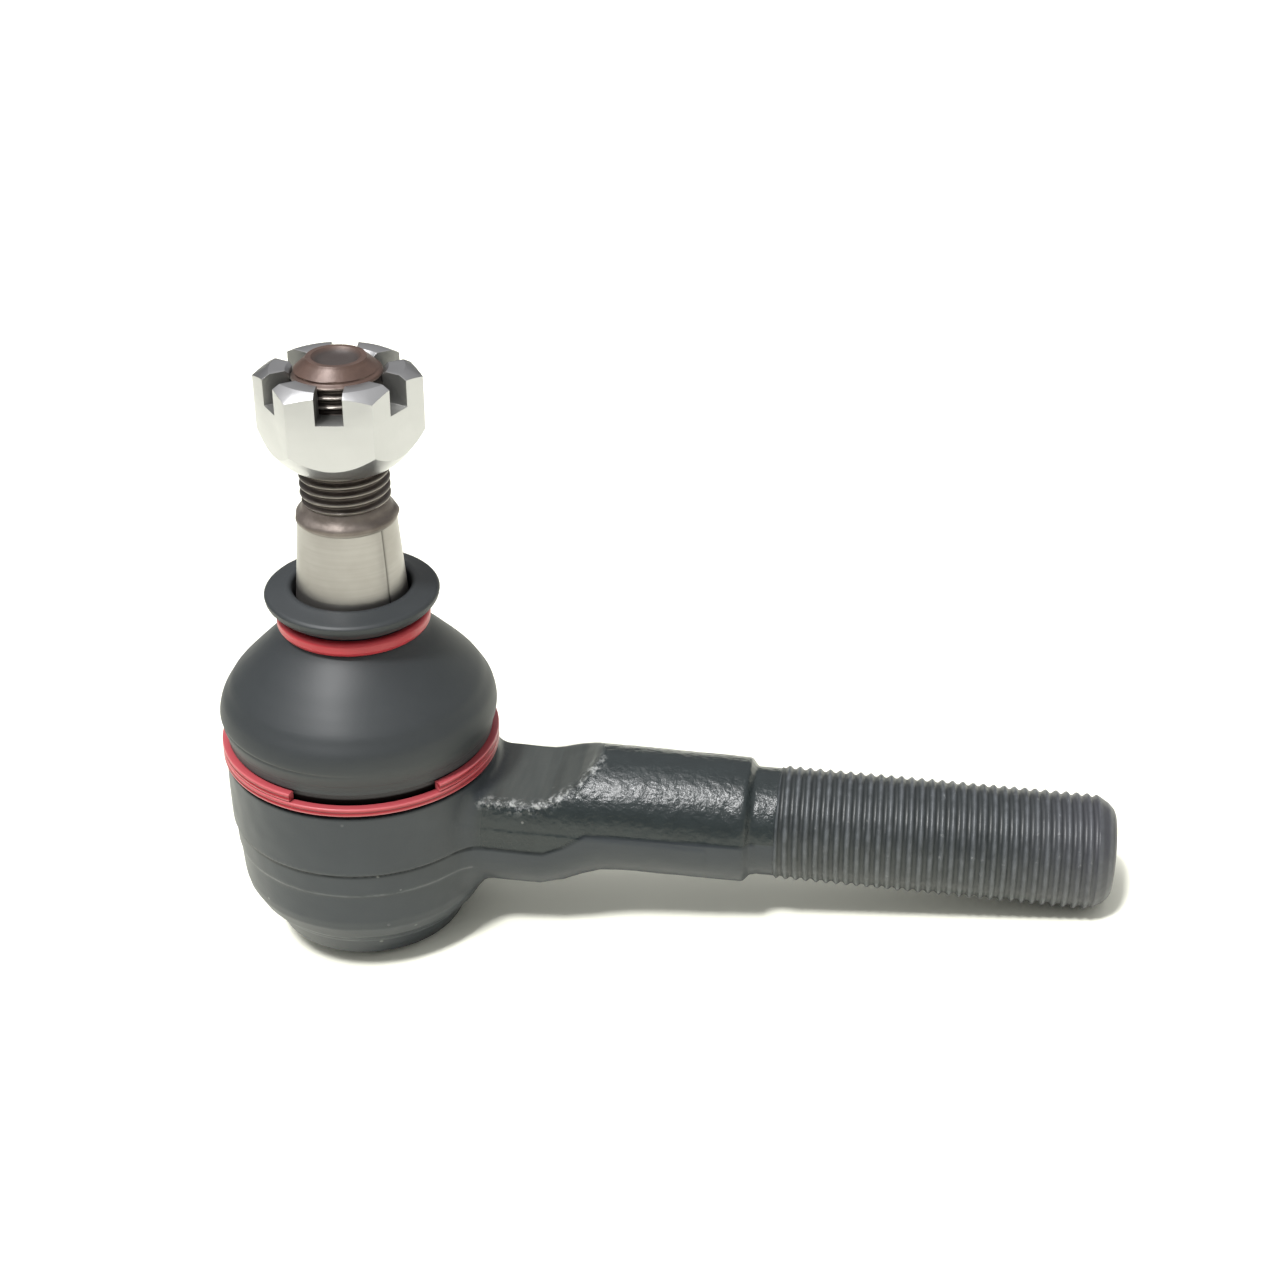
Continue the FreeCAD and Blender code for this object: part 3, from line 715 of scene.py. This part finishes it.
def profile_normals(profile, closed):
    """Outward normals of a profile turned about Z, in its own plane."""
    ahead = np.roll(profile, -1, axis=0)
    behind = np.roll(profile, 1, axis=0)
    if not closed:
        ahead[-1] = profile[-1]
        behind[0] = profile[0]
    along = ahead - behind
    normal = np.stack([along[:, 1], -along[:, 0]], axis=-1)
    return normal / np.maximum(np.linalg.norm(normal, axis=1), 1e-9)[:, None]


def make_boot():
    """Rubber boot as two pieces that meet halfway up the dome."""
    dome, split_out, inside, split_in = boot_profiles()
    bead = rounded([
        (16.35, 31.75, 0), (16.35, 27.7, 0.3), (18.1, 27.7, 0.3), (18.1, 30.6, 0.1)
    ])
    lower = np.concatenate([
        inside[:split_in + 1][::-1], bead[1:], dome[:split_out + 1]
    ])
    lip = rounded([
        (9.35, 47.4, 0.1), (9.35, 49.5, 0.25), (11.0, 50.6, 0.5), (11.75, 51.5, 0.3),
        (11.9, 52.3, 0.2), (11.55, 52.65, 0.2), (9.8, 53.1, 1.0), (8.7, 53.5, 0.5),
        (8.05, 53.1, 0.4), (8.05, 48.4, 0),
    ])
    upper = np.concatenate([dome[split_out:], lip, inside[split_in:][::-1]])
    pieces = []
    for name, profile in (("boot_lower", lower), ("boot_upper", upper)):
        piece = make_mesh(
            name, lathe_points(profile).reshape(-1, 3), grid_faces(len(profile), ROUND_STEPS)
        )
        points = points_of(piece)
        normals = lathe_points(profile_normals(profile, False)).reshape(-1, 3)
        x, y, z = points.T
        angle = np.arctan2(y, x)
        left = step_up(np.cos(angle - math.radians(-150)), 0.1, 0.8)
        crease = -0.16 * np.exp(-((z - 34.2) / 0.16) ** 2) * left
        crease += 0.07 * step_up(z, 34.0, 34.3) * step_up(37 - z, 0, 2.5) * left
        folds = -0.05 * np.exp(-((z - 32.1) / 0.12) ** 2)
        soft = 0.05 * ripple(points, 16, 31) * step_up(z, 32, 36) * step_up(46 - z, 0, 3)
        outer = (x * normals[:, 0] + y * normals[:, 1] > -1) & (np.hypot(x, y) > 9)
        move_points(piece, points + normals * ((crease + folds) * outer + soft)[:, None])
        set_seam_normals(piece, points, (dome, split_out), (inside, split_in))
        pieces.append(piece)
    return pieces


def set_seam_normals(piece, points, outer, inner):
    """Give both halves the same normals where they meet, so that no seam shows."""
    found = read_points(piece, "normal")
    at_seam = np.abs(points[:, 2] - BOOT_SPLIT_Z) < 1e-3
    across = np.hypot(points[:, 0], points[:, 1])
    wall_middle = (outer[0][outer[1], 0] + inner[0][inner[1], 0]) / 2
    for sign, (profile, index) in ((1, outer), (-1, inner)):
        normal = sign * profile_normals(profile, False)[index]
        chosen = at_seam & ((across > wall_middle) == (sign > 0))
        found[chosen, :2] = normal[0] * points[chosen, :2] / across[chosen, None]
        found[chosen, 2] = normal[1]
    piece.data.normals_split_custom_set_from_vertices(found.tolist())


def make_open_ring(name, bottom, gap_middle, gap):
    """Flat red ring with a groove along its face and square cut ends."""
    top = bottom + BASE_RING_HEIGHT
    middle = (bottom + top) / 2
    section = rounded([
        (18.25, bottom, 0.1), (19.32, bottom, 0.16), (19.4, bottom + 0.3, 0.2),
        (19.4, middle - 0.22, 0.08), (19.27, middle, 0.1), (19.4, middle + 0.22, 0.08),
        (19.4, top - 0.3, 0.2), (19.32, top, 0.16), (18.25, top, 0.1),
    ], 4)
    first = math.radians(gap_middle + gap / 2)
    last = math.radians(gap_middle - gap / 2 + 360)
    angles = np.linspace(first, last, 220)[:, None]
    points = np.stack([
        section[:, 0] * np.cos(angles),
        section[:, 0] * np.sin(angles),
        np.broadcast_to(section[:, 1], (len(angles), len(section))),
    ], axis=-1).reshape(-1, 3)
    faces = grid_faces(len(angles), len(section)).tolist()
    faces.append(list(range(len(section)))[::-1])
    faces.append(list(range(len(points) - len(section), len(points))))
    piece = make_mesh(name, points, faces)
    merge_points(piece)
    smooth(piece, 50)
    height = points_of(piece)[:, 2]
    near_edge = np.minimum(np.abs(height - top + 0.1), np.abs(height - bottom - 0.1))
    groove_reach = 0.14
    # Masks for the painted highlights along the edges and the painted shade in the groove.
    set_attribute(piece, "rim", np.exp(-(near_edge / 0.13) ** 2))
    set_attribute(piece, "groove", np.exp(-((height - middle) / groove_reach) ** 2))
    return piece


def make_top_ring():
    """Closed red band in the boot's upper groove."""
    return lathe("top_ring", rounded([
        (9.4, 47.3, 0.1), (10.1, 47.3, 0.4), (10.5, 47.9, 0.5), (10.44, 48.4, 0.3),
        (10.5, 48.9, 0.5), (10.1, 49.4, 0.4), (9.4, 49.4, 0.1),
    ]), closed=True)


# ------------------------------------------------------------------- materials

class Look:
    """A material under construction, with short calls for its nodes."""

    def __init__(self, name):
        self.material = bpy.data.materials.new(name)
        self.material.use_nodes = True
        self.tree = self.material.node_tree
        self.shader = self.tree.nodes["Principled BSDF"]
        self.place = self.tree.nodes.new("ShaderNodeTexCoord").outputs["Object"]

    def put(self, socket, value):
        """Set a socket to a number or a colour, or link it to another socket."""
        if isinstance(value, bpy.types.NodeSocket):
            self.tree.links.new(value, socket)
        elif isinstance(value, (tuple, list)) and socket.type == "RGBA":
            socket.default_value = (*value, 1)
        else:
            socket.default_value = value

    def set(self, **values):
        """Set the shader's inputs; an underscore in a name stands for a space."""
        for name, value in values.items():
            self.put(self.shader.inputs[name.replace("_", " ")], value)

    def noise(self, scale, detail=3, roughness=0.5, stretch=None):
        """Noise from 0 to 1 with a scale in features per metre."""
        node = self.tree.nodes.new("ShaderNodeTexNoise")
        node.inputs["Scale"].default_value = scale
        node.inputs["Detail"].default_value = detail
        node.inputs["Roughness"].default_value = roughness
        self.put(node.inputs["Vector"], self.stretched(stretch))
        return node.outputs["Fac"]

    def stretched(self, stretch):
        """Object coordinates, multiplied axis by axis."""
        if stretch is None:
            return self.place
        node = self.tree.nodes.new("ShaderNodeMapping")
        node.inputs["Scale"].default_value = stretch
        self.put(node.inputs["Vector"], self.place)
        return node.outputs["Vector"]

    def spots(self, scale, size):
        """Small sharp spots: 1 inside a spot, 0 outside."""
        node = self.tree.nodes.new("ShaderNodeTexVoronoi")
        node.inputs["Scale"].default_value = scale
        self.put(node.inputs["Vector"], self.place)
        return self.ramp(node.outputs["Distance"], size, size * 0.5)

    def attribute(self, name):
        """Number stored on the mesh's points or faces."""
        node = self.tree.nodes.new("ShaderNodeAttribute")
        node.attribute_name = name
        return node.outputs["Fac"]

    def ramp(self, value, low, high):
        """Map low to 0 and high to 1, clamped."""
        node = self.tree.nodes.new("ShaderNodeMapRange")
        self.put(node.inputs["Value"], value)
        node.inputs["From Min"].default_value = low
        node.inputs["From Max"].default_value = high
        return node.outputs["Result"]

    def axis(self, name):
        """One of the object coordinates, X, Y or Z."""
        node = self.tree.nodes.new("ShaderNodeSeparateXYZ")
        self.put(node.inputs[0], self.place)
        return node.outputs[name]

    def math(self, operation, a, b):
        """Arithmetic on two numbers or sockets."""
        node = self.tree.nodes.new("ShaderNodeMath")
        node.operation = operation
        self.put(node.inputs[0], a)
        self.put(node.inputs[1], b)
        return node.outputs[0]

    def mix(self, share, a, b):
        """Colour between a and b. The node's colour sockets come after the others."""
        node = self.tree.nodes.new("ShaderNodeMix")
        node.data_type = "RGBA"
        self.put(node.inputs[0], share)
        self.put(node.inputs[6], a)
        self.put(node.inputs[7], b)
        return node.outputs[2]

    def between(self, share, a, b):
        """Number between a and b."""
        node = self.tree.nodes.new("ShaderNodeMix")
        self.put(node.inputs[0], share)
        self.put(node.inputs[2], a)
        self.put(node.inputs[3], b)
        return node.outputs[0]

    def bump(self, height, distance, strength=1.0, below=None):
        """Bump as deep as a distance in millimetres, over another bump if one is given."""
        node = self.tree.nodes.new("ShaderNodeBump")
        node.inputs["Distance"].default_value = distance * MM
        self.put(node.inputs["Strength"], strength)
        self.put(node.inputs["Height"], height)
        if below is not None:
            self.put(node.inputs["Normal"], below)
        return node.outputs["Normal"]


def paint_look():
    """Black paint: satin on the round body, glossy and rough over the cast neck. Painted shade,
    near black and without gloss, darkens the parting step and the shoulder under the ring;
    painted highlights lighten the socket's edge lines; pale chips on the ridge are partly painted
    glint.
    """
    look = Look("black_paint_look")
    rough = look.attribute("rough")
    ridge = look.attribute("ridge")
    saddle = look.attribute("saddle")
    # Painted shade along the parting step and under the base ring.
    line = look.math("MULTIPLY", look.attribute("line"), 0.9)
    # Painted highlights along the socket's edge lines, broken up by noise.
    edge = look.math("MULTIPLY", look.attribute("edge"), look.ramp(look.noise(300, 3), 0.3, 0.75))
    cloudy = look.noise(90, 4)
    satin = look.mix(cloudy, (0.017, 0.021, 0.026), (0.031, 0.037, 0.043))
    gloss = look.mix(look.noise(400, 3), (0.008, 0.012, 0.013), (0.017, 0.023, 0.024))
    brushed = look.noise(260, 3, stretch=(3, 0.4, 1))
    floor = look.mix(brushed, (0.024, 0.029, 0.028), (0.062, 0.067, 0.062))
    colour = look.mix(rough, satin, gloss)
    colour = look.mix(saddle, colour, floor)
    dust = look.math("MULTIPLY", look.spots(260, 0.09), look.ramp(look.noise(70, 2), 0.56, 0.62))
    colour = look.mix(look.math("MULTIPLY", dust, 0.5), colour, (0.4, 0.4, 0.38))
    # Pale specks on the torn ridge: partly chipped paint, partly painted glint.
    chips_and_glint = look.math("MULTIPLY", look.ramp(look.noise(1100, 5, 0.65), 0.50, 0.62), ridge)
    colour = look.mix(look.math("MULTIPLY", chips_and_glint, 0.7), colour, (0.42, 0.43, 0.42))
    colour = look.mix(line, colour, (0.006, 0.007, 0.008))
    colour = look.mix(look.math("MULTIPLY", edge, 0.5), colour, (0.22, 0.23, 0.23))
    shine = look.between(rough, look.between(cloudy, 0.38, 0.46), 0.26)
    fine = look.bump(look.noise(2600, 2), 0.012)
    peel = look.bump(look.noise(1700, 4, 0.6), 0.10, rough, fine)
    torn = look.bump(look.noise(1400, 4), 0.5, ridge, peel)
    # Metallic follows the painted shade, so the shaded band loses its gloss.
    look.set(Base_Color=colour, Metallic=line, Roughness=shine, Normal=torn)
    look.set(Specular_IOR_Level=0.42)
    return look.material


def plain_paint_look():
    """Black paint on the closing plate."""
    look = Look("plate_paint_look")
    cloudy = look.noise(90, 4)
    colour = look.mix(cloudy, (0.034, 0.040, 0.044), (0.055, 0.062, 0.066))
    look.set(Base_Color=colour, Roughness=look.between(cloudy, 0.4, 0.52))
    look.set(Normal=look.bump(look.noise(900, 3), 0.02))
    return look.material


def thread_paint_look():
    """Thin black paint, worn grey along the crests and purplish towards the tip."""
    look = Look("thread_paint_look")
    crest = look.ramp(look.attribute("crest"), 0.25, 0.9)
    cloudy = look.noise(250, 4)
    worn = look.math("MULTIPLY", crest, look.ramp(look.noise(600, 3), 0.15, 0.7))
    colour = look.mix(cloudy, (0.010, 0.013, 0.014), (0.020, 0.024, 0.025))
    colour = look.mix(worn, colour, (0.070, 0.077, 0.084))
    far = look.math("MULTIPLY", look.ramp(look.axis("X"), 90 * MM, 104 * MM), 0.45)
    colour = look.mix(far, colour, (0.060, 0.058, 0.070))
    nicks = look.math("MULTIPLY", look.ramp(look.noise(900, 4), 0.66, 0.76), crest)
    colour = look.mix(look.math("MULTIPLY", nicks, 0.4), colour, (0.30, 0.31, 0.31))
    look.set(Base_Color=colour, Roughness=look.between(cloudy, 0.36, 0.5))
    look.set(Normal=look.bump(look.noise(1800, 2), 0.015))
    return look.material


def rubber_look():
    """Matt black rubber with a faint bloom, and painted shade, near black and without gloss, on
    the bead below about 30 mm, behind the base rings and in the upper ring's gap.
    """
    look = Look("boot_rubber_look")
    bloom = look.noise(55, 5, 0.6)
    fine = look.noise(700, 3)
    colour = look.mix(bloom, (0.013, 0.016, 0.018), (0.024, 0.028, 0.031))
    # Painted shade on the bead below about 30 mm.
    painted_shade_at_bead = look.ramp(look.axis("Z"), 30.05 * MM, 29.8 * MM)
    colour = look.mix(painted_shade_at_bead, colour, (0.004, 0.004, 0.004))
    dust = look.math("MULTIPLY", look.spots(330, 0.06), look.ramp(look.noise(90, 2), 0.6, 0.66))
    colour = look.mix(look.math("MULTIPLY", dust, 0.45), colour, (0.4, 0.4, 0.39))
    # Metallic follows the painted shade, so the shaded bead has no gloss.
    look.set(Base_Color=colour, Metallic=painted_shade_at_bead, Roughness=look.between(bloom, 0.48, 0.58))
    look.set(Normal=look.bump(fine, 0.01))
    return look.material


def red_ring_look():
    """Red coat, with painted highlights along the wire's rounded edges and painted shade in its
    groove.
    """
    look = Look("red_ring_look")
    cloudy = look.noise(300, 3)
    colour = look.mix(cloudy, (0.26, 0.008, 0.016), (0.34, 0.020, 0.030))
    # Painted highlights along the wire's edges.
    rim = look.math("MULTIPLY", look.attribute("rim"), 0.35)
    colour = look.mix(rim, colour, (0.72, 0.25, 0.27))
    # Painted shade in the groove along the wire's face.
    groove = look.math("MULTIPLY", look.attribute("groove"), 0.8)
    colour = look.mix(groove, colour, (0.12, 0.006, 0.01))
    look.set(Base_Color=colour, Roughness=look.between(cloudy, 0.3, 0.42))
    look.set(Normal=look.bump(look.noise(1500, 2), 0.01), Coat_Weight=0.1, Coat_Roughness=0.25)
    return look.material


def red_band_look():
    """Smooth red elastic band."""
    look = Look("red_band_look")
    cloudy = look.noise(200, 3)
    colour = look.mix(cloudy, (0.31, 0.014, 0.022), (0.40, 0.028, 0.038))
    look.set(Base_Color=colour, Roughness=look.between(cloudy, 0.38, 0.48))
    look.set(Normal=look.bump(look.noise(900, 2), 0.012))
    return look.material


def taper_look():
    """Ground steel on the taper, brown oxide on the collar, a dark seam down the side."""
    look = Look("stud_body_look")
    oxide = look.attribute("oxide")
    seam = look.attribute("seam")
    rings = look.noise(60, 4, stretch=(1, 1, 60))
    blotch = look.noise(140, 3)
    ground = look.mix(rings, (0.288, 0.274, 0.258), (0.370, 0.354, 0.340))
    ground = look.mix(look.ramp(blotch, 0.35, 0.75), ground, (0.255, 0.240, 0.222))
    scale = look.mix(look.noise(450, 4), (0.075, 0.058, 0.050), (0.22, 0.19, 0.17))
    colour = look.mix(oxide, ground, scale)
    colour = look.mix(look.math("MULTIPLY", seam, 0.85), colour, (0.05, 0.045, 0.04))
    look.set(Base_Color=colour, Metallic=look.between(oxide, 0.9, 0.6))
    look.set(Roughness=look.between(oxide, look.between(rings, 0.3, 0.42), 0.5))
    grind = look.bump(rings, 0.012)
    look.set(Normal=look.bump(look.noise(900, 3), 0.08, oxide, grind))
    return look.material


def stud_thread_look():
    """Oxidised thread with bright crests, and a rusty end above the nut."""
    look = Look("stud_thread_look")
    end = look.ramp(look.axis("Z"), 83.3 * MM, 84.1 * MM)
    crest = look.ramp(look.attribute("crest"), 0.6, 1.0)
    dark = look.mix(look.noise(500, 3), (0.045, 0.036, 0.032), (0.10, 0.085, 0.075))
    bright = look.mix(crest, dark, (0.24, 0.22, 0.20))
    rust = look.mix(look.noise(380, 4), (0.045, 0.024, 0.018), (0.115, 0.068, 0.052))
    across = look.tree.nodes.new("ShaderNodeVectorMath")
    across.operation = "LENGTH"
    look.put(across.inputs[0], look.stretched((1, 1, 0)))
    centre = look.ramp(across.outputs["Value"], 3.3 * MM, 2.6 * MM)
    rust = look.mix(centre, rust, (0.042, 0.032, 0.029))
    colour = look.mix(end, bright, rust)
    look.set(Base_Color=colour, Metallic=look.between(end, 0.75, 0.25))
    look.set(Roughness=look.between(look.noise(400, 3), 0.34, 0.5))
    look.set(Normal=look.bump(look.noise(1200, 3), 0.04))
    return look.material


def zinc_look():
    """Bright zinc plate, slightly cloudy, rougher inside the slots, whose colour is darkened
    there as painted shade.
    """
    look = Look("nut_zinc_look")
    cloudy = look.noise(120, 4)
    drawn = look.noise(90, 3, stretch=(1, 1, 12))
    colour = look.mix(cloudy, (0.385, 0.384, 0.390), (0.462, 0.461, 0.468))
    slot = look.attribute("slot")
    # Painted shade: the slot walls and floors are darkened.
    colour = look.mix(look.math("MULTIPLY", slot, 0.8), colour, (0.20, 0.20, 0.19))
    shine = look.between(drawn, 0.26, 0.38)
    look.set(Base_Color=colour, Metallic=1.0, Roughness=look.between(slot, shine, 0.5))
    look.set(Normal=look.bump(look.noise(700, 3), 0.02, 1.0, look.bump(drawn, 0.015)))
    return look.material


def polymer_look():
    """Moulded bearing plastic of the hidden seats."""
    look = Look("seat_polymer_look")
    cloudy = look.noise(150, 3)
    colour = look.mix(cloudy, (0.66, 0.64, 0.56), (0.76, 0.74, 0.67))
    look.set(Base_Color=colour, Roughness=look.between(cloudy, 0.42, 0.52))
    look.set(Normal=look.bump(look.noise(1200, 2), 0.01))
    return look.material


def spring_look():
    """Hardened steel of the hidden disc spring."""
    look = Look("spring_steel_look")
    cloudy = look.noise(200, 3)
    colour = look.mix(cloudy, (0.20, 0.21, 0.24), (0.34, 0.35, 0.38))
    look.set(Base_Color=colour, Metallic=1.0, Roughness=look.between(cloudy, 0.3, 0.42))
    return look.material


def dress(piece, material):
    """Give a piece one material."""
    piece.data.materials.clear()
    piece.data.materials.append(material)


# ----------------------------------------------------------------- the pieces

def place_housing():
    """Forging and thread, which together stand for the CAD housing."""
    forging = make_forging()
    dress(forging, paint_look())
    thread = make_shank_thread()
    dress(thread, thread_paint_look())
    for piece in (forging, thread):
        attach(piece, "housing")
        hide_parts("housing")


def place_stud():
    """Stud in two pieces, which move together."""
    body = make_stud_body()
    dress(body, taper_look())
    thread = make_stud_thread()
    dress(thread, stud_thread_look())
    for piece in (body, thread):
        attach(piece, "ball_stud")
        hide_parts("ball_stud")


def place_nut():
    """Nut, which slides along the stud on its own body."""
    nut = make_castle_nut()
    dress(nut, zinc_look())
    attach(nut, "castle_nut")
    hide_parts("castle_nut")


def place_boot():
    """Boot as a lower and an upper half in one rubber material, in place of the CAD boot."""
    lower, upper = make_boot()
    look = rubber_look()
    for piece in (lower, upper):
        dress(piece, look)
        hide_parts("dust_boot")
    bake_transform(lower)
    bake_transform(upper)


def place_rings():
    """Two open rings at the boot's base and a closed band at its neck."""
    look = red_ring_look()
    for name, bottom, middle in (
        ("boot_base_ring_upper", UPPER_RING_Z, RING_GAP_MIDDLE),
        ("boot_base_ring_lower", LOWER_RING_Z, RING_GAP_MIDDLE + 180),
    ):
        ring = make_open_ring(name + "_wire", bottom, middle, RING_GAP)
        dress(ring, look)
        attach(ring, "housing")
        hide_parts(name)
    band = make_top_ring()
    dress(band, red_band_look())
    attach(band, "boot_neck")
    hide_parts("boot_top_ring")


def dress_cad_nodes():
    """Materials for the CAD nodes that keep their own shapes."""
    polymer = polymer_look()
    looks = {
        "cover_plate": plain_paint_look(),
        "upper_seat": polymer,
        "lower_seat": polymer,
        "disc_spring": spring_look(),
    }
    for node, look in looks.items():
        dress(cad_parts[node], look)


# ------------------------------------------------------------ camera and light

def make_camera():
    """Camera in front of the shank and above it, placed and rolled to match the photo."""
    data = bpy.data.cameras.new("camera")
    data.sensor_width = 36
    data.lens = 56.25
    camera = add_object("camera", data)
    location = Vector((0.07342, -0.23026, 0.18280))
    back = -Vector((-0.1257, 0.8561, -0.5012)).normalized()
    level = Vector((0, 0, 1)).cross(back).normalized()
    up = back.cross(level)
    roll = math.radians(0.71)
    right = math.cos(roll) * level + math.sin(roll) * up
    up = back.cross(right)
    turn = Matrix((right, up, back)).transposed()
    camera.matrix_world = Matrix.Translation(location) @ turn.to_4x4()
    bpy.context.scene.camera = camera


def make_floor():
    """Pale floor. The part lies on its rim and its tip, so the floor is tilted to it."""
    rim = Vector((13.3 * MM, 0, 0))
    tip = Vector((103 * MM, 0, 12.7 * MM))
    along = (tip - rim).normalized()
    side = Vector((0, 1, 0))
    half = 3.0
    corners = [
        rim + along * a * half + side * b * half for a, b in ((-1, -1), (1, -1), (1, 1), (-1, 1))
    ]
    floor = make_mesh("floor", [c / MM for c in corners], [(0, 1, 2, 3)])
    look = Look("floor_look")
    colour = look.mix(look.noise(8, 3), (0.93, 0.932, 0.815), (0.965, 0.967, 0.85))
    look.set(Base_Color=colour, Roughness=0.7, Specular_IOR_Level=0.2)
    dress(floor, look.material)


def add_lamp(name, kind, power, direction):
    """Lamp of a kind and a power that shines along a direction."""
    data = bpy.data.lights.new(name, kind)
    data.energy = power
    lamp = add_object(name, data)
    lamp.rotation_mode = "QUATERNION"
    lamp.rotation_quaternion = Vector(direction).to_track_quat("-Z", "Y")
    return lamp


def make_surroundings():
    """World that is bright overhead and dim below, and plain white to the camera."""
    world = bpy.data.worlds.new("studio")
    world.use_nodes = True
    nodes = world.node_tree.nodes
    background = nodes["Background"]
    place = nodes.new("ShaderNodeTexCoord").outputs["Generated"]
    split = nodes.new("ShaderNodeSeparateXYZ")
    ramp = nodes.new("ShaderNodeValToRGB")
    ramp.color_ramp.elements[0].position = 0.05
    ramp.color_ramp.elements[0].color = (0.10, 0.10, 0.105, 1)
    ramp.color_ramp.elements[1].position = 0.75
    ramp.color_ramp.elements[1].color = (0.85, 0.85, 0.85, 1)
    links = world.node_tree.links
    links.new(place, split.inputs[0])
    links.new(split.outputs["Z"], ramp.inputs[0])
    links.new(ramp.outputs["Color"], background.inputs["Color"])
    background.inputs["Strength"].default_value = 1.0
    behind = nodes.new("ShaderNodeBackground")
    behind.inputs["Color"].default_value = (1, 1, 1, 1)
    seen = nodes.new("ShaderNodeLightPath").outputs["Is Camera Ray"]
    choice = nodes.new("ShaderNodeMixShader")
    links.new(seen, choice.inputs[0])
    links.new(background.outputs[0], choice.inputs[1])
    links.new(behind.outputs[0], choice.inputs[2])
    links.new(choice.outputs[0], nodes["World Output"].inputs["Surface"])
    bpy.context.scene.world = world


def light_the_scene():
    """White studio with a key sun at the front left and a soft box high on the left."""
    make_surroundings()
    bpy.context.scene.view_settings.view_transform = "Standard"
    key = add_lamp("key", "SUN", 3.1, (0.20, 0.33, -0.72))
    key.data.angle = math.radians(8)
    middle = Vector((0.04, 0, 0.03))
    place = Vector((-0.22, -0.12, 0.70))
    fill = add_lamp("fill", "AREA", 2.6, middle - place)
    fill.data.size = 0.45
    fill.location = place


dress_cad_nodes()
place_housing()
place_stud()
place_nut()
place_boot()
place_rings()
make_camera()
make_floor()
light_the_scene()
